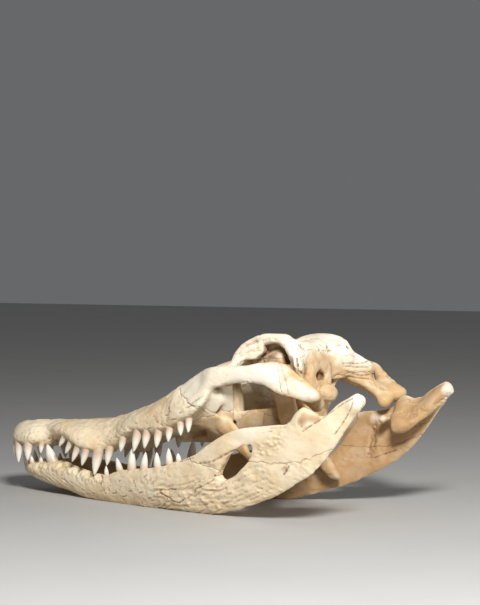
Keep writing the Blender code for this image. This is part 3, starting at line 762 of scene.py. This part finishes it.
def carveRelief(clay, nodes, low):
    points = clay["points"].copy()
    table = np.array([relief[kindOf(node)] for node in nodes])
    amounts = table[np.clip(low, 0, len(nodes) - 1)]
    outside = 1 - clay["marks"]["warm"]
    lumps = soften(clay, amounts[:, 0], grain["spread"])
    pits = soften(clay, amounts[:, 1] * fade(outside, 0.45, 0.8), grain["spread"])
    calm = 0.3 + 0.7 * fade(waves(points, grain["calm"] * mm, 6), -0.4, 0.35)
    long = points * np.array((grain["lengthwise"], 1, 1))
    small = 0.5 * waves(long, grain["small"] * mm, 2)
    small = calm * (small + 0.35 * waves(long, grain["smallest"] * mm, 3))
    lift(clay, lumps * (0.8 * waves(long, grain["lumps"] * mm, 1) + small))
    for size, stretch, salt in grain["pits"]:
        nearest = pebbles(points * np.array((stretch, 1, 1)), size * mm, salt)
        patchy = fade(waves(points, grain["pitted"] * mm, salt), -0.1, 0.5)
        pit = (1 - fade(nearest, 0.08, 0.4)) * patchy
        lift(clay, -pits * pit)
        # Painted shade in the bottoms of the pits
        paintStainAndShade(clay, "hollowShadeAndMottle", np.minimum(0.45 * pits * pit, 0.5))


def smoothBorders(piece, owners, rounds):  # evens out the stepped line between two bones
    edges = piece.data.edges
    loopEdges = readValues(piece.data.loops, "edge_index", 1, np.int64)
    low, high = ownerRange(piece, owners, loopEdges, len(edges))
    a, b = readValues(edges, "vertices", 2, np.int64)[low != high].T
    points = readPoints(piece)
    links = np.bincount(np.concatenate((a, b)), minlength=len(points))
    moving = links == 2
    for _ in range(rounds):
        for k in range(3):
            around = (np.bincount(a, points[b, k], len(points))
                      + np.bincount(b, points[a, k], len(points)))
            middle = around[moving] / links[moving]
            points[moving, k] = 0.5 * points[moving, k] + 0.5 * middle
    writePoints(piece, points)


slotOf = {
    "ivory_bone": ("premaxilla", "frontal", "maxilla", "dentary", "surangular", "angular"),
    "pale_bone": ("skull_table", "jugal"),
    "tan_bone": ("nasal", "palatine", "pterygoid", "braincase", "quadrate", "ectopterygoid",
                 "articular"),
}
toneBones = {"pale": slotOf["pale_bone"], "tan": slotOf["tan_bone"]}
fused = {}
for name, nodes in groups.items():
    fused[name] = fuseBones(name, nodes)
    print("fused", name, len(fused[name].data.polygons), "faces")

clays = {}
ownersOf = {}
for name, nodes in groups.items():
    ownersOf[name] = boneOfFaces(fused[name], nodes)
    smoothBorders(fused[name], ownersOf[name], 8)
    clay = startClay(fused[name])
    clays[name] = clay
    # Painted shade: the share of the sky a point misses darkens it towards amber
    paintStainAndShade(clay, "warm", shelter(clay))
    low, high = bonesOfPoints(fused[name], ownersOf[name])
    clay["seam"] = soften(clay, (low != high).astype(float), 1)
    for tone, kinds in toneBones.items():
        mask = np.array([any(node.startswith(k) for k in kinds) for node in nodes])[low]
        clay["marks"][tone] = soften(clay, mask.astype(float), 45)
    # Painted shade: each jaw half darkens tan and amber on its inner faces, which the skull shadows,
    # and tan towards its lower edge on the floor
    if name != "cranium":
        outward = clay["normals"][:, 1] * (-1 if name == "jaw_left" else 1)
        inner = soften(clay, fade(-outward, 0.1, 0.6), 4)
        paintStainAndShade(clay, "tan", inner)
        paintStainAndShade(clay, "tan", 0.55 * (1 - fade(clay["place"][:, 2], 2, 26)))
        paintStainAndShade(clay, "warm", 0.55 * inner)
    carveRelief(clay, nodes, low)
    print("relief on", name)

teeth = toothPlaces()
for _, name, root, lean, _, length, halfWidth in teeth:
    shrinkStub(clays[name], root, lean, length, halfWidth)
    if length > toothRows["long"] * mm:  # its stub stands straighter than the finished tooth
        upright = Vector((0, 0, 1 if lean.z > 0 else -1))
        shrinkStub(clays[name], root, upright, length, halfWidth)
    collar = touched(clays[name], [root], halfWidth / mm * toothRows["collar"])
    lift(clays[name], toothRows["collarRise"] * collar)
    around = touched(clays[name], [root], halfWidth / mm * toothRows["collarStain"])
    paintStainAndShade(clays[name], "tan", 0.6 * around)

# Features at their places in the picture, on both sides of the animal: places, width and
# depth in millimetres, marks. The cracks are on one side only. The near-black brown mark in
# the slits, holes and cracks is partly painted shade inside them.
skullFeatures = (
    # dark slits above the upper teeth
    ([[(135, 423), (137, 423.5)], [(140.5, 425.5)], [(146.5, 423.3)], [(153, 424)],
      [(156.7, 421.5), (158, 422.5)], [(147, 429), (153, 427.5)], [(144, 429)],
      [(160, 424), (162, 425.5)], [(164.5, 415.2), (168, 415)], [(166.5, 421)],
      [(171.5, 420), (176, 419)], [(153, 416)], [(179, 413), (182, 412)]],
     1.7, 1.1, dict(brown=0.75)),
    ([[(98, 445)], [(107, 445.6)], [(108, 436.7)], [(109.5, 431.5)], [(112, 435)],
      [(110.5, 438.5)], [(113.3, 437)], [(117, 431.7)], [(121, 432)], [(124.4, 433.3)],
      [(125.5, 430)], [(88, 449)], [(93, 447)], [(101, 446)], [(103, 441)],
      [(116, 437)], [(130, 428)], [(128, 432.5)], [(134, 429)], [(121, 427)]],
     1.6, 0.9, dict(brown=0.6)),
    # small pits round the front of the snout
    ([[(21, 433)], [(24, 437)], [(28, 435)], [(27, 440)], [(31, 438)], [(34, 441)],
      [(36, 436)], [(39, 439)], [(42, 437)], [(44, 441)], [(33, 432)], [(38, 432)],
      [(29, 430)], [(24, 430)], [(47, 434)], [(52, 431.5)], [(57, 432)], [(20, 438)],
      [(61, 436)], [(63, 440)], [(66, 443)], [(69, 445)], [(59, 430)]],
     1.8, 0.8, dict(brown=0.45)),
    # furrows of the table's rim above the ear
    ([[(247, 348), (262, 341), (272, 337.5)], [(250, 351), (266, 345), (276, 343)],
      [(246, 353), (258, 350.5)]],
     1.8, 0.7, dict(warm=0.5)),
    # suture at the back of the cheek bone, and the pits along its lower edge
    ([[(280.7, 362), (281.5, 369), (283, 375), (285.5, 380.5), (288.5, 395)]],
     1.5, 0.9, dict(brown=0.45)),
    ([[(206, 400)], [(217, 387)], [(222, 384)], [(240, 384.5)], [(250, 386)],
      [(262, 386.5)], [(270, 389)], [(276, 392)], [(232, 383)]],
     1.5, 0.8, dict(brown=0.5)),
    # suture round the front of the orbit
    ([[(186, 408), (191, 405.5), (199, 407), (203, 409), (204, 412)],
      [(190, 405), (195, 401), (203, 396)], [(187, 403), (193, 406)]],
     1.6, 0.9, dict(brown=0.55)),
)
jawFeatures = (
    # slits of the lower jaw
    ([[(119, 481), (121, 480.5)], [(133, 480.5), (134, 481.5)],
      [(144, 477), (147, 475.5)], [(147, 483)], [(153, 482), (157, 480)],
      [(128, 492), (131, 491)], [(139, 493), (143, 492)], [(157, 494), (162, 493)],
      [(99, 491.5), (104, 491)], [(112, 494), (116, 493)], [(122, 497), (126, 496)],
      [(134, 499)], [(148, 499), (151, 498)], [(100, 484)], [(110, 486)],
      [(120, 487)]],
     1.7, 1.0, dict(brown=0.6)),
    # rough front of the lower jaw
    ([[(33, 472), (45, 481)], [(38, 470), (52, 481)], [(45, 472), (60, 484)],
      [(52, 475), (66, 485)], [(60, 478), (76, 489)], [(70, 482), (86, 492)],
      [(80, 485), (94, 494)], [(42, 477), (58, 488)], [(56, 483), (74, 493)]],
     1.9, 0.7, dict(brown=0.12, warm=0.3)),
    # slit at the back of the tooth row
    ([[(179, 461.5), (186, 459.5), (193, 458)]], 1.9, 1.3, dict(brown=0.85)),
    # toothed sutures between the jaw's bones
    ([[(159.5, 491), (163, 489.5), (167, 490.5), (171, 489), (176, 490)],
      [(160, 493), (168, 497), (174, 501), (180, 502.8)],
      [(180, 502.5), (183, 500), (187, 499), (190, 496), (194.4, 492.8), (196, 489),
       (201, 487), (205, 484.5), (210, 483), (213, 480), (215, 475.5)]],
     1.7, 1.4, dict(brown=0.55, warm=0.4)),
    # groove above the window
    ([[(200, 463), (206, 463), (212, 461.5), (221, 457), (230, 452.5), (239, 448.5)]],
     2.6, 1.0, dict(brown=0.35, warm=0.6)),
    ([[(224, 456), (232, 452), (240, 447.5)]], 1.6, 1.0, dict(brown=0.6)),
    # ridges that flow back from the window
    ([[(232, 478), (240, 473), (248, 468.5), (261, 466)],
      [(236, 482), (246, 476), (256, 473)],
      [(204, 505), (216, 500.5), (228, 495), (236, 489.5), (243, 485.5)],
      [(221, 507), (232, 500), (243, 493), (252, 490), (261, 489)],
      [(171, 504.5), (186, 506), (203, 505), (214, 503)],
      [(208, 497), (218, 492), (226, 488)], [(234, 503), (248, 498), (258, 493)],
      [(246, 487), (256, 482), (266, 479)], [(216, 488), (226, 483), (231, 480)],
      [(250, 501), (262, 495), (270, 489)]],
     2.6, 0.9, dict(brown=0.05, warm=0.3)),
    # slit with a yellow floor below the joint
    ([[(288.5, 466), (286.5, 470), (283.5, 474.5)]], 2.0, 1.2,
     dict(brown=0.75, warm=0.7)),
    ([[(289, 464), (284, 470)]], 7.0, 0.5, dict(warm=0.75)),
    # hole and warm patch under the joint
    ([[(301, 426.5)]], 2.2, 1.5, dict(brown=0.85)),
    ([[(301, 421), (306, 418)], [(305, 416), (316, 419)]], 8.5, 0.0, dict(warm=0.85)),
    # grooves on the outer face of the jaw's hook
    ([[(302.8, 431.5), (318, 421), (334, 410), (344, 402.5), (351.7, 398.3)],
      [(334, 435), (341, 426), (347, 416), (351, 408), (352.8, 400.5)]],
     1.7, 1.1, dict(brown=0.6)),
    ([[(270, 428.3), (277, 427.7), (285, 427.5)], [(262, 433), (272, 431)]],
     1.5, 0.7, dict(brown=0.3)),
)
cracks = (
    ("cranium", [[(297, 357.5), (296.8, 362), (298.3, 366), (297.5, 370), (302.5, 372.8)]],
     2.3, 1.3, dict(brown=1.0)),
    ("cranium", [[(304, 359), (304.5, 366), (303, 371)]], 1.6, 1.0, dict(brown=0.6)),
    ("cranium", [[(316, 345), (319.4, 348.3), (319, 351), (321.7, 354)], [(320, 344), (323, 347)]],
     1.6, 1.0, dict(brown=0.65)),
    ("cranium", [[(343, 363.3), (354, 363.8), (364, 362.8), (368.5, 360.5)],
                 [(344, 366), (356, 367.2), (368, 367)],
                 [(345, 370.5), (352, 373.5), (360, 375.5), (374, 374)],
                 [(343, 376), (352, 377.5), (369, 378)]],
     2.0, 1.3, dict(brown=0.7)),
    ("jaw_left", [[(101.5, 474), (102, 479), (101, 484.5)]], 2.2, 2.0, dict(brown=0.9)),
    ("jaw_right", [[(374.4, 457.8), (383, 454.5), (391, 452), (396.7, 450)]], 1.8, 1.0,
     dict(brown=0.8)),
)
# Some of these patches are painted shade: the right jaw's inner face and the back of the skull
tints = (  # broad patches of colour: clay, places, radius in millimetres, marks
    ("cranium", [[(290, 386), (300, 390), (310, 394)]], 13, dict(white=0.8)),
    ("cranium", [[(316, 398), (319, 403)]], 9, dict(hollowShadeAndMottle=0.7)),
    ("cranium", [[(286, 342), (290, 350), (294, 358)]], 10, dict(white=0.8)),
    ("cranium", [[(240, 374), (262, 373), (276, 372)]], 20, dict(white=0.7)),
    ("cranium", [[(326, 345), (345, 352), (358, 358)]], 24, dict(white=0.6, green=0.15)),
    ("cranium", [[(262, 357), (272, 355), (284, 350)], [(258, 362), (280, 362)]], 12,
     dict(warm=0.85)),
    ("cranium", [[(300, 352), (310, 362)], [(330, 362), (340, 372)]], 16, dict(warm=0.45)),
    ("cranium", [[(350, 384), (370, 392)]], 14, dict(warm=0.4)),
    ("cranium", [[(302, 347)]], 5, dict(warm=1.0, brown=0.4)),
    ("cranium", [[(324, 396), (333, 391)]], 9, dict(hollowShadeAndMottle=0.6)),
    ("cranium", [[(48, 419.5), (70, 420), (98, 420)]], 12, dict(warm=0.3)),
    ("jaw_left", [[(352, 399), (360, 403)]], 12, dict(white=0.8)),
    ("jaw_left", [[(240, 432), (270, 424), (288, 420)]], 16, dict(white=0.5)),
    ("jaw_right", [[(448, 388), (450, 393)]], 11, dict(white=0.8)),
    ("jaw_right", [[(374, 418), (383, 419)]], 7, dict(white=0.6)),
    # Painted shade: the right jaw's inner face, shadowed by the skull, and the back of the skull are
    # darkened tan and amber
    ("jaw_right", [[(352, 462), (385, 452), (415, 436)], [(360, 440), (392, 430), (432, 414)]], 24,
     dict(tan=0.85, warm=0.3)),
    ("cranium", [[(312, 356), (322, 372), (330, 388)], [(345, 374), (372, 384), (396, 394)]], 15,
     dict(tan=0.75, warm=0.2)),
)
# Painted shade: the amber and near-black marks of these hollows darken their insides
dishes = (  # wide hollows of the jaw, snout and quadrate, small ones at the ear and the back
    ("jaw_right", [[(400, 412), (410, 414), (422, 412)]], 12, 3.0, dict(warm=0.3)),
    ("jaw_right", [[(438, 404), (447, 397)]], 8, 3.0, dict(warm=0.45)),
    ("jaw_right", [[(374, 424), (373, 440), (369, 455)]], 9, 3.0, dict(warm=0.95, brown=0.3)),
    ("cranium", [[(371, 383), (384, 388)]], 6, 2.5, dict(warm=0.7)),
    ("cranium", [[(52, 440), (60, 442)]], 9, 3.5, dict(warm=0.6)),
    ("cranium", [[(318, 376), (322, 376)]], 6.5, 5.0, dict(brown=0.9)),
    ("cranium", [[(301, 346), (304, 348)]], 5.0, 3.0, dict(brown=0.8)),
    ("cranium", [[(296, 364), (298, 372)]], 4.0, 2.0, dict(warm=0.8)),
    ("cranium", [[(292, 371), (300, 378)]], 8.0, 1.5, dict(warm=0.35)),
)
smoothed = (  # places worn smooth: clay, places, radius in millimetres
    ("cranium", [[(212, 393), (222, 408), (216, 420)], [(206, 412), (226, 398)]], 20),
    ("cranium", [[(334, 346), (345, 348)]], 16),
    ("jaw_left", [[(300, 415), (310, 408)]], 12),
)
for name, routes, radius in smoothed:
    clay = clays[name]
    spots = [spot for route in routes for spot in traced(clay, route)]
    spots += [otherSide(name, spot) for spot in spots] if name == "cranium" else []
    ease(clay, np.sqrt(touched(clay, spots, radius)), 40)
for name, routes, radius, stainAndShadeMarks in tints:
    carve(name, routes, radius, 0, **stainAndShadeMarks)
for name, routes, width, depth, stainAndShadeMarks in dishes:
    carve(name, routes, width, depth, **stainAndShadeMarks)
for name, table in (("cranium", skullFeatures), ("jaw_left", jawFeatures)):
    for routes, width, depth, stainAndShadeMarks in table:
        carve(name, routes, width, depth, **stainAndShadeMarks)
for name, routes, width, depth, stainAndShadeMarks in cracks:
    carve(name, routes, width, depth, twin=False, **stainAndShadeMarks)
print("features carved")

# Sockets whose teeth are lost, in the front of the lower jaw
lostTeeth = {
    "places": [[(61, 465), (65, 467)], [(77, 471)], [(89, 473), (92, 475)], [(40, 463)]],
    "radius": 6.5,
    "depth": 5.5,
    "rim": [(30, 467), (45, 467), (60, 468), (78, 474), (95, 479), (104, 480)],
    "rimRadius": 11.0,
    "rimLumps": 1.6,
    "rimPits": 1.3,
    "pitSize": 4.2,
}
for clay, spots in onBothJaws(lostTeeth["rim"]):
    share = touched(clay, spots, lostTeeth["rimRadius"])
    lift(clay, share * (lostTeeth["rimLumps"] * waves(clay["points"], 6 * mm, 61) + 0.6))
    nearest = pebbles(clay["points"], lostTeeth["pitSize"] * mm, 62)
    pit = share * (1 - fade(nearest, 0.1, 0.45))
    lift(clay, -lostTeeth["rimPits"] * pit)
    # Painted shade in the pits of the rim
    paintStainAndShade(clay, "hollowShadeAndMottle", 0.5 * pit)
carve("jaw_left", lostTeeth["places"], lostTeeth["radius"], lostTeeth["depth"], green=0.7,
      warm=0.35)

# Cobbled patch behind the window, and the flowing lower edge
cobbles = {
    "middle": [(262, 451), (270, 446), (277, 441)],
    "radius": 19.0,
    "size": 5.2,
    "height": 1.9,
    "flowSize": 5.5,
    "flowHeight": 1.1,
}
for clay, spots in onBothJaws(cobbles["middle"]):
    share = touched(clay, spots, cobbles["radius"])
    nearest = pebbles(clay["points"] * np.array((0.7, 0.8, 1.1)), cobbles["size"] * mm, 31)
    stone = 1 - fade(nearest, 0.05, 0.7)
    lift(clay, cobbles["height"] * share * (stone - 0.35))
    # Painted shade between the cobbles
    paintStainAndShade(clay, "hollowShadeAndMottle", share * (1 - stone) * 0.35)
    x, y, z = clay["place"].T
    stretched = np.stack([x * 0.28 + z * 0.1, y * 0.5, z - x * 0.35], axis=1) * mm
    flow = waves(stretched, cobbles["flowSize"] * mm, 41)
    region = fade(x, 235, 285) * (1 - fade(x, 400, 450)) * (1 - fade(z, 32, 60))
    region = region * (1 - clay["marks"]["warm"])
    lift(clay, cobbles["flowHeight"] * region * (1 - 2 * np.abs(flow)))

for clay in clays.values():
    seam = clay["seam"] * fade(1 - clay["marks"]["warm"], 0.2, 0.6)
    lift(clay, -skull["sutureDepth"] * seam)
    paintStainAndShade(clay, "seam", seam * fade(waves(clay["points"], 16 * mm, 77), -0.5, 0.4))
    # Painted shade: concave places darken by how far they sink below their neighbours
    hollowShadeAndMottle = np.sum((softPoints(clay, 3) - clay["points"]) * clay["normals"], axis=1) / mm
    paintStainAndShade(clay, "hollowShadeAndMottle", fade(soften(clay, hollowShadeAndMottle, 1), 0.02, 0.22))
    writePoints(clay["piece"], keepInBox(clay["points"]))
    for mark, values in clay["marks"].items():
        writeMark(clay["piece"], mark, values)
print("marks written")


# Materials: worked bone and enamel, from noise and the marks on the points
# The warm, tan, hollow and brown colours also paint shade: amber and tan on occluded and shadowed
# faces, the hollow colour in concave places and pits, near-black inside slits, holes and cracks
boneColours = {
    "body": (0.82, 0.69, 0.49),
    "second": (0.71, 0.53, 0.31),
    "tan": (0.50, 0.31, 0.13),
    "pale": (0.85, 0.76, 0.60),
    "warm": (0.30, 0.14, 0.045),
    "seam": (0.36, 0.22, 0.11),
    "hollowShadeAndMottle": (0.45, 0.30, 0.15),
    "green": (0.50, 0.46, 0.15),
    "white": (0.86, 0.80, 0.69),
    "brown": (0.10, 0.04, 0.015),
}
markShares = {"tan": 0.8, "pale": 0.9, "warm": 0.92, "seam": 0.5, "hollowShadeAndMottle": 0.62, "green": 0.7,
              "white": 0.9, "brown": 0.95}
boneRoughness = {"ivory_bone": (0.62, 0.46), "pale_bone": (0.55, 0.4), "tan_bone": (0.66, 0.5)}
enamelColours = {
    "root": (0.57, 0.41, 0.28),
    "body": (0.82, 0.77, 0.67),
    "mottle": (0.76, 0.64, 0.48),
    "streak": (0.50, 0.40, 0.30),
}


def startMaterial(name):
    material = bpy.data.materials.new(name)
    material.use_nodes = True
    tree = material.node_tree
    place = tree.nodes.new("ShaderNodeTexCoord").outputs["Object"]
    return material, tree, tree.nodes["Principled BSDF"], place


def addNoise(tree, place, scale, detail=3, stretch=None):
    if stretch:
        mapping = tree.nodes.new("ShaderNodeMapping")
        mapping.inputs["Scale"].default_value = stretch
        tree.links.new(place, mapping.inputs["Vector"])
        place = mapping.outputs["Vector"]
    noise = tree.nodes.new("ShaderNodeTexNoise")
    noise.inputs["Scale"].default_value = scale
    noise.inputs["Detail"].default_value = detail
    tree.links.new(place, noise.inputs["Vector"])
    return noise.outputs["Fac"]


def addRange(tree, value, low, high, outLow=0.0, outHigh=1.0):
    node = tree.nodes.new("ShaderNodeMapRange")
    node.inputs["From Min"].default_value = low
    node.inputs["From Max"].default_value = high
    node.inputs["To Min"].default_value = outLow
    node.inputs["To Max"].default_value = outHigh
    tree.links.new(value, node.inputs["Value"])
    return node.outputs["Result"]


def addMix(tree, share, first, second):
    node = tree.nodes.new("ShaderNodeMix")
    node.data_type = "RGBA"
    tree.links.new(share, node.inputs["Factor"])
    colourSockets = [s for s in node.inputs if s.type == "RGBA"]
    for colour, socket in zip((first, second), colourSockets):
        if isinstance(colour, tuple):
            socket.default_value = (*colour, 1)
        else:
            tree.links.new(colour, socket)
    return [s for s in node.outputs if s.type == "RGBA"][0]


def weaken(tree, value, share):
    node = tree.nodes.new("ShaderNodeMath")
    node.operation = "MULTIPLY"
    tree.links.new(value, node.inputs[0])
    node.inputs[1].default_value = share
    return node.outputs[0]


def readMark(tree, name):
    node = tree.nodes.new("ShaderNodeAttribute")
    node.attribute_name = name
    return node.outputs["Fac"]


def addMarks(tree, colour, *marks):
    for mark in marks:
        strength = weaken(tree, readMark(tree, mark), markShares[mark])
        colour = addMix(tree, strength, colour, boneColours[mark])
    return colour


def addBump(tree, shader, layers):  # each layer is a height, its strength and its depth
    below = None
    for height, strength, distance in layers:
        bump = tree.nodes.new("ShaderNodeBump")
        bump.inputs["Strength"].default_value = strength
        bump.inputs["Distance"].default_value = distance * mm
        tree.links.new(height, bump.inputs["Height"])
        if below:
            tree.links.new(below, bump.inputs["Normal"])
        below = bump.outputs["Normal"]
    tree.links.new(below, shader.inputs["Normal"])


def makeBone(name):
    material, tree, shader, place = startMaterial(name)
    clouds = addRange(tree, addNoise(tree, place, 16, 5), 0.38, 0.66)
    blotches = addRange(tree, addNoise(tree, place, 55, 4), 0.45, 0.72)
    colour = addMix(tree, clouds, boneColours["body"], boneColours["second"])
    colour = addMarks(tree, colour, "tan", "pale")
    colour = addMix(tree, weaken(tree, blotches, 0.4), colour, boneColours["pale"])
    specks = addRange(tree, addNoise(tree, place, 330, 2), 0.68, 0.78)
    colour = addMix(tree, weaken(tree, specks, 0.4), colour, boneColours["hollowShadeAndMottle"])
    # Painted shade: the warm, hollow and brown marks darken occluded and shadowed faces, concave
    # places, pits and openings
    warm = addRange(tree, readMark(tree, "warm"), 0.25, 0.9, 0.0, markShares["warm"])
    colour = addMix(tree, warm, colour, boneColours["warm"])
    colour = addMarks(tree, colour, "seam", "hollowShadeAndMottle", "green", "white", "brown")
    tree.links.new(colour, shader.inputs["Base Color"])
    rough, smooth = boneRoughness[name]
    tree.links.new(addRange(tree, blotches, 0, 1, rough, smooth), shader.inputs["Roughness"])
    shader.inputs["Specular IOR Level"].default_value = 0.4
    pores = tree.nodes.new("ShaderNodeTexVoronoi")
    pores.inputs["Scale"].default_value = 620
    tree.links.new(place, pores.inputs["Vector"])
    poreDepth = addRange(tree, pores.outputs["Distance"], 0.12, 0.35)
    fibres = addNoise(tree, place, 160, 3, (0.35, 1, 1))
    grain = addNoise(tree, place, 420, 4)
    addBump(tree, shader, ((fibres, 0.4, 0.7), (grain, 0.3, 0.25), (poreDepth, 0.22, 0.2)))
    return material


def makeEnamel():
    material, tree, shader, place = startMaterial("enamel")
    rise = readMark(tree, "rise")
    streaks = addNoise(tree, place, 500, 3, (1, 1, 0.12))
    mottle = addRange(tree, addNoise(tree, place, 90, 3), 0.35, 0.7)
    colour = addMix(tree, addRange(tree, rise, -0.02, 0.45), enamelColours["root"],
                    enamelColours["body"])
    colour = addMix(tree, weaken(tree, mottle, 0.35), colour, enamelColours["mottle"])
    colour = addMix(tree, addRange(tree, streaks, 0.62, 0.72, 0.0, 0.35), colour,
                    enamelColours["streak"])
    tree.links.new(colour, shader.inputs["Base Color"])
    tree.links.new(addRange(tree, mottle, 0, 1, 0.24, 0.38), shader.inputs["Roughness"])
    shader.inputs["Coat Weight"].default_value = 0.15
    shader.inputs["Coat Roughness"].default_value = 0.2
    addBump(tree, shader, ((streaks, 0.25, 0.15),))
    return material


looks = {name: makeBone(name) for name in boneRoughness}
enamel = makeEnamel()

for name, nodes in groups.items():
    for node, bone in splitBones(fused[name], nodes, ownersOf[name]).items():
        closeBone(bone, clays[name]["skin"], skull["borderDepth"] * mm)
        slot = next(s for s, kinds in slotOf.items() if kindOf(node) in kinds)
        bone.data.materials.clear()
        bone.data.materials.append(looks[slot])
        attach(bone, "root")
        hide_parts(node)
        print("bone", node, len(bone.data.polygons), "faces")

model = makeToothModel()
toothSets = {}
for bone, _, root, lean, back, length, halfWidth in teeth:
    tooth = placeTooth(model, root, lean, back, length, halfWidth)
    toothSets.setdefault(bone, []).append(tooth)
bpy.data.objects.remove(model)
for bone, pieces in toothSets.items():
    pickOnly(*pieces)
    bpy.ops.object.join()
    row = bpy.context.object
    row.name = "teeth_" + bone
    row.data.materials.append(enamel)
    writePoints(row, keepInBox(readPoints(row)))
    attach(row, "root")
    print("teeth", bone, len(pieces))


# Floor, world and lamps
studio = {
    "floorColour": (0.47, 0.46, 0.44),
    "floorSize": 12,
    "floorMottle": 0.96,
    "floorRoughness": 0.8,
    "aim": (0, 0, 0.1),
    "worldColour": (0.75, 0.77, 0.8),
    "worldStrength": 0.18,
    "lamps": (  # name, right, up and near of the target, size in metres, watts
        ("key", 0.2, 0.95, 1.75, 0.4, 58),
        ("fill", 1.9, 0.6, 0.5, 1.2, 9),
    ),
}
bpy.ops.mesh.primitive_plane_add(size=studio["floorSize"], location=(0, 0, 0))
floor = bpy.context.object
floor.name = "floor"
floorMaterial, floorTree, floorShader, floorPlace = startMaterial("pale_floor")
tint = addRange(floorTree, addNoise(floorTree, floorPlace, 6, 4), 0.3, 0.7)
darker = tuple(c * studio["floorMottle"] for c in studio["floorColour"])
floorColour = addMix(floorTree, tint, studio["floorColour"], darker)
floorTree.links.new(floorColour, floorShader.inputs["Base Color"])
floorShader.inputs["Roughness"].default_value = studio["floorRoughness"]
floor.data.materials.append(floorMaterial)
bpy.context.scene.view_settings.view_transform = "Standard"
world = bpy.data.worlds.new("studio")
bpy.context.scene.world = world
world.use_nodes = True
background = world.node_tree.nodes["Background"]
background.inputs["Color"].default_value = (*studio["worldColour"], 1)
background.inputs["Strength"].default_value = studio["worldStrength"]
for name, right, up, near, size, power in studio["lamps"]:
    spot = Vector(view["target"]) + eyeRight * right + eyeUp * up + eyeBack * near
    bpy.ops.object.light_add(type="AREA", location=spot)
    lamp = bpy.context.object
    lamp.name = name
    lamp.data.size = size
    lamp.data.energy = power
    lamp.rotation_euler = (Vector(studio["aim"]) - spot).to_track_quat("-Z", "Y").to_euler()
